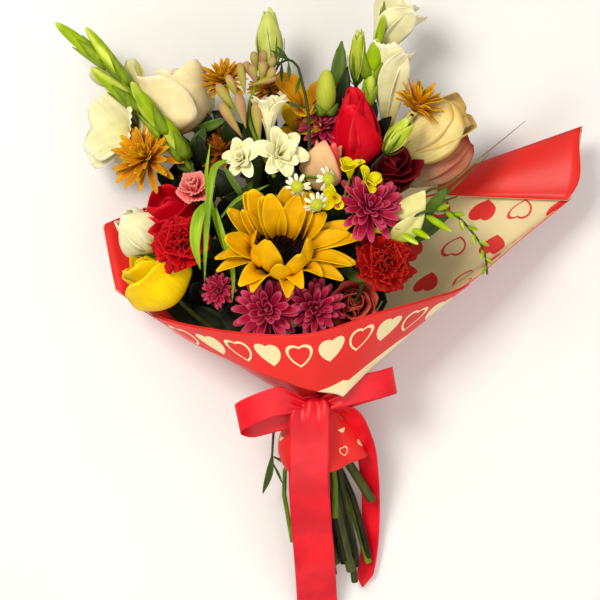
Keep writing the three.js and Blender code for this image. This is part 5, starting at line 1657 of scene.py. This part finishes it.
collar = {
    # from where to where it goes round, where its lower tip is, how high and how deep it stands there
    "span": (11.5 / 14 - 1, 3 / 14), "tip": 0.62, "deep": (0.9, 0.28), "stand": (1.4, 22),
    # a heart's cell in mm and its distance from the upper edge; the cream edge, from, to and how wide
    "heart": 32, "gap": 8, "cream": (0.47, 0.95, 0.2), "columns": 120, "rows": 40,
}


def collarPoint(along, s):
    low, high = collar["span"]
    u = low + (high - low) * along
    width = along / collar["tip"] if along < collar["tip"] else (1 - along) / (1 - collar["tip"])
    shallow, deep = collar["deep"]
    lower = shallow + (deep - shallow) * width ** 0.75
    v = lower + (1 - lower) * s
    stand = collar["stand"][0] + collar["stand"][1] * width * (1 - s) ** 1.2
    return paperPoint(u, v) + paperNormal(u, v) * stand


def growCollar():
    columns, rows = collar["columns"], collar["rows"]

    def place(along, s):
        return collarPoint(along, s) + front * 0.8 * math.sin(along * 31 + 2 * s) * (1 - s)

    band = mapGrid("wrapping_collar", columns, rows, place)
    coords = gridShares(columns, rows)
    run = [0.0]  # the way along the upper edge to each column
    for i in range(columns):
        run.append(run[-1] + (collarPoint((i + 1) / columns, 1) - collarPoint(i / columns, 1)).length)
    below = [(collarPoint(along, 1) - collarPoint(along, s)).length for along, s in coords]
    cell, gap = collar["heart"], collar["gap"]
    high = cell * paper["rowRatio"]
    setAttribute(band, "band", [1.0 if gap < d < gap + high else 0.0 for d in below])
    first, last, most = collar["cream"]
    reach = [most * min(1, (last - along) / 0.12, (along - first) / 0.12) for along, s in coords]
    setAttribute(band, "creamEdge", [min(max(0.5 + 8 * (far - s), 0), 1)
                                     for far, (along, s) in zip(reach, coords)])

    def uvAt(index):
        return (run[index % (columns + 1)] / cell + 0.3, (gap + high - below[index]) / cell)

    return finishPaper(band, uvAt, "paperBand", "paperIn")


joinPieces("wrapping_collar", [growCollar()], ["wrapping_paper_collar"])
print("paper ready")

# ribbon

knot = tie + front * 33.5
kx, ky, kz = knot
ribbon = {
    # points from the knot out and back, width
    "loops": [([knot, (-14, -88, kz + 14), (-38, -95, kz + 13), (-55, -105, kz + 2), (-46, -110, kz - 9),
                (-18, -104, kz - 9), (kx, ky - 5, kz - 2)], 26),
              ([knot, (42, -81, kz + 8), (72, -74, kz + 4), (84, -71, kz - 6), (74, -75, kz - 14),
                (46, -83, kz - 10), knot], 25)],
    # points from the knot to the end, width at both ends, which way the width lies at both ends
    "tails": [([(9, -88, kz + 6), (8, -104, kz + 9), (8, -126, 101), (8, -160, 90), (10, -198, 70),
                (13, -234, 50), (15, -264, 27), (17, -298, 4), (19, -330, 1.2)],
               (35, 38), (1, 0.1, 0), (1, 0, 0)),
              ([knot, (40, -98, 84), (57, -126, 62), (64, -164, 38),
                (66, -203, 16), (64, -242, 7), (59, -270, 3)],
               (22, 17), (0.8, 0.2, 0.6), (0.9, 0.1, 0.4))],
    "loopPinch": 0.35, "tailPinch": 0.84, "pointedUnder": 25, "thick": 0.5,
    "hoop": 26.4, "hoopHalf": 11, "hoopSwell": 0.6,
    "knotRadius": 12, "knotShape": (1.3, 0.5, 0.85), "knotFolds": 5,
}


def satinMaterial():
    material, tree, shader = newMaterial("ribbonSatin", 0.34, specular=0.3)
    soft = noise(tree, objectPlace(tree), 30, 3)
    threads = addNode(tree, "ShaderNodeMapping", {"Vector": ownMap(tree), "Scale": (60, 900, 1)}).outputs[0]
    weave = noise(tree, threads, 1, 2)
    colour = blendColour(tree, ramp(tree, soft, 0.3, 0.7), linear("#c8061c"), linear("#e81424"))
    finishLook(tree, shader, colour, calc(tree, "ADD", weave, calc(tree, "MULTIPLY", soft, 4)), 0.18, 0.0006)
    return material


paints["satin"] = satinMaterial()


def inSatin(piece):
    thicken(piece, ribbon["thick"])
    piece.data.materials.append(paints["satin"])
    return piece


def strip(points, width, first, last, name, cup, ripple):
    # a band along the points, gathered where it leaves the knot
    def place(x, t):
        wide = Vector(first).normalized().lerp(Vector(last).normalized(), t).normalized()
        normal = headingOf(points, t, 0.01).cross(wide).normalized()
        span = width[0] + (width[1] - width[0]) * t
        if name == "loop":
            pinch = min(1, ribbon["loopPinch"] + 4 * t, ribbon["loopPinch"] + 4 * (1 - t))
            gather = 1 - pinch
        else:
            pinch = min(1, ribbon["tailPinch"] + 3 * t)
            gather = max(0, 1 - t * 5)
            span *= min(1, (1 - t) * 14 + 0.06) if span < ribbon["pointedUnder"] else 1
        fold = cup * math.cos((x - 0.5) * math.pi * 5) * gather
        side = (x - 0.5) * span * pinch
        return readPath(points, t) + wide * side + normal * (fold + ripple * math.sin(t * 21 + x * 2) * t)

    return inSatin(mapGrid(name, 16, 48, place))


def growHoop():
    def place(u, v):
        swell = ribbon["hoopSwell"] * math.sin(v * math.pi * 5)
        return roundPoint(tie, ribbon["hoop"] + swell, u, (v - 0.5) * 2 * ribbon["hoopHalf"])

    hoop = mapGrid("hoop", 64, 10, place)
    weld()
    return inSatin(hoop)


def growKnot():
    # a flattened ball with folds pressed in from the tie's direction
    bpy.ops.mesh.primitive_uv_sphere_add(segments=20, ring_count=12, radius=ribbon["knotRadius"] * mm,
                                         location=(0, 0, 0))
    ball = bpy.context.object
    bpy.ops.object.mode_set(mode="EDIT")
    bpy.ops.transform.resize(value=ribbon["knotShape"])
    for i in range(ribbon["knotFolds"]):
        angle = math.tau * i / ribbon["knotFolds"]
        pick(ball, lambda corner: abs(math.atan2(corner.co.y, corner.co.x) % math.tau - angle) < 0.2)
        bpy.ops.transform.resize(value=(0.86, 0.86, 1), center_override=(0, 0, 0))
    bpy.ops.object.mode_set(mode="OBJECT")
    ball.data.transform(Matrix.Translation(spot(knot)) @ Matrix((right, front, axis)).transposed().to_4x4())
    addModifier(ball, "SUBSURF", levels=1, render_levels=1)
    bpy.ops.object.shade_smooth()
    ball.data.materials.append(paints["satin"])
    return ball


def growRibbon():
    parts = [strip(points, (width, width), axis, axis, "loop", 5, 0) for points, width in ribbon["loops"]]
    parts += [strip(*tail, "tail", 2.2, 0.6) for tail in ribbon["tails"]]
    joinPieces("satin_bow", parts + [growHoop(), growKnot()], ["satin_ribbon"])


growRibbon()
print("ribbon ready")

# twine under the paper


def twineMaterial():
    material, tree, shader = newMaterial("twineFibre", 0.9)
    grain = noise(tree, objectPlace(tree), 400, 4)
    finishLook(tree, shader, blendColour(tree, grain, linear("#7a6236"), linear("#c8ad76")), grain, 0.6, 0.0006)
    return material


paints["twine"] = twineMaterial()
twine = {"turns": 5, "perTurn": 12, "height": 7, "radius": 0.8}
steps = twine["turns"] * twine["perTurn"]
coil = [roundPoint(tie, bindingRadius, i / twine["perTurn"], (i / steps - 0.5) * twine["height"])
        for i in range(steps + 1)]
thread = growTube("coil", coil, (twine["radius"], twine["radius"]), "twine", 0.5, 2)
joinPieces("binding_coil", [thread], ["binding_twine"])

# floor finish, size and end


def floorMaterial():
    material, tree, shader = newMaterial("floorPale", 0.7)
    soft = noise(tree, objectPlace(tree), 3, 2)
    tree.links.new(blendColour(tree, soft, linear("#e2e1e2"), linear("#e9e8e9")), shader.inputs["Base Color"])
    return material


floor.data.materials.append(floorMaterial())
for master in (*masters.values(), limeBud, greenBud, tuberoseBud):
    bpy.data.objects.remove(master)

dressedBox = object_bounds()
boxes = {"cad": [list(corner) for corner in cadBox], "dressed": [list(corner) for corner in dressedBox]}
for name, box in boxes.items():
    print(name, "box", [[round(c, 3) for c in corner] for corner in box])
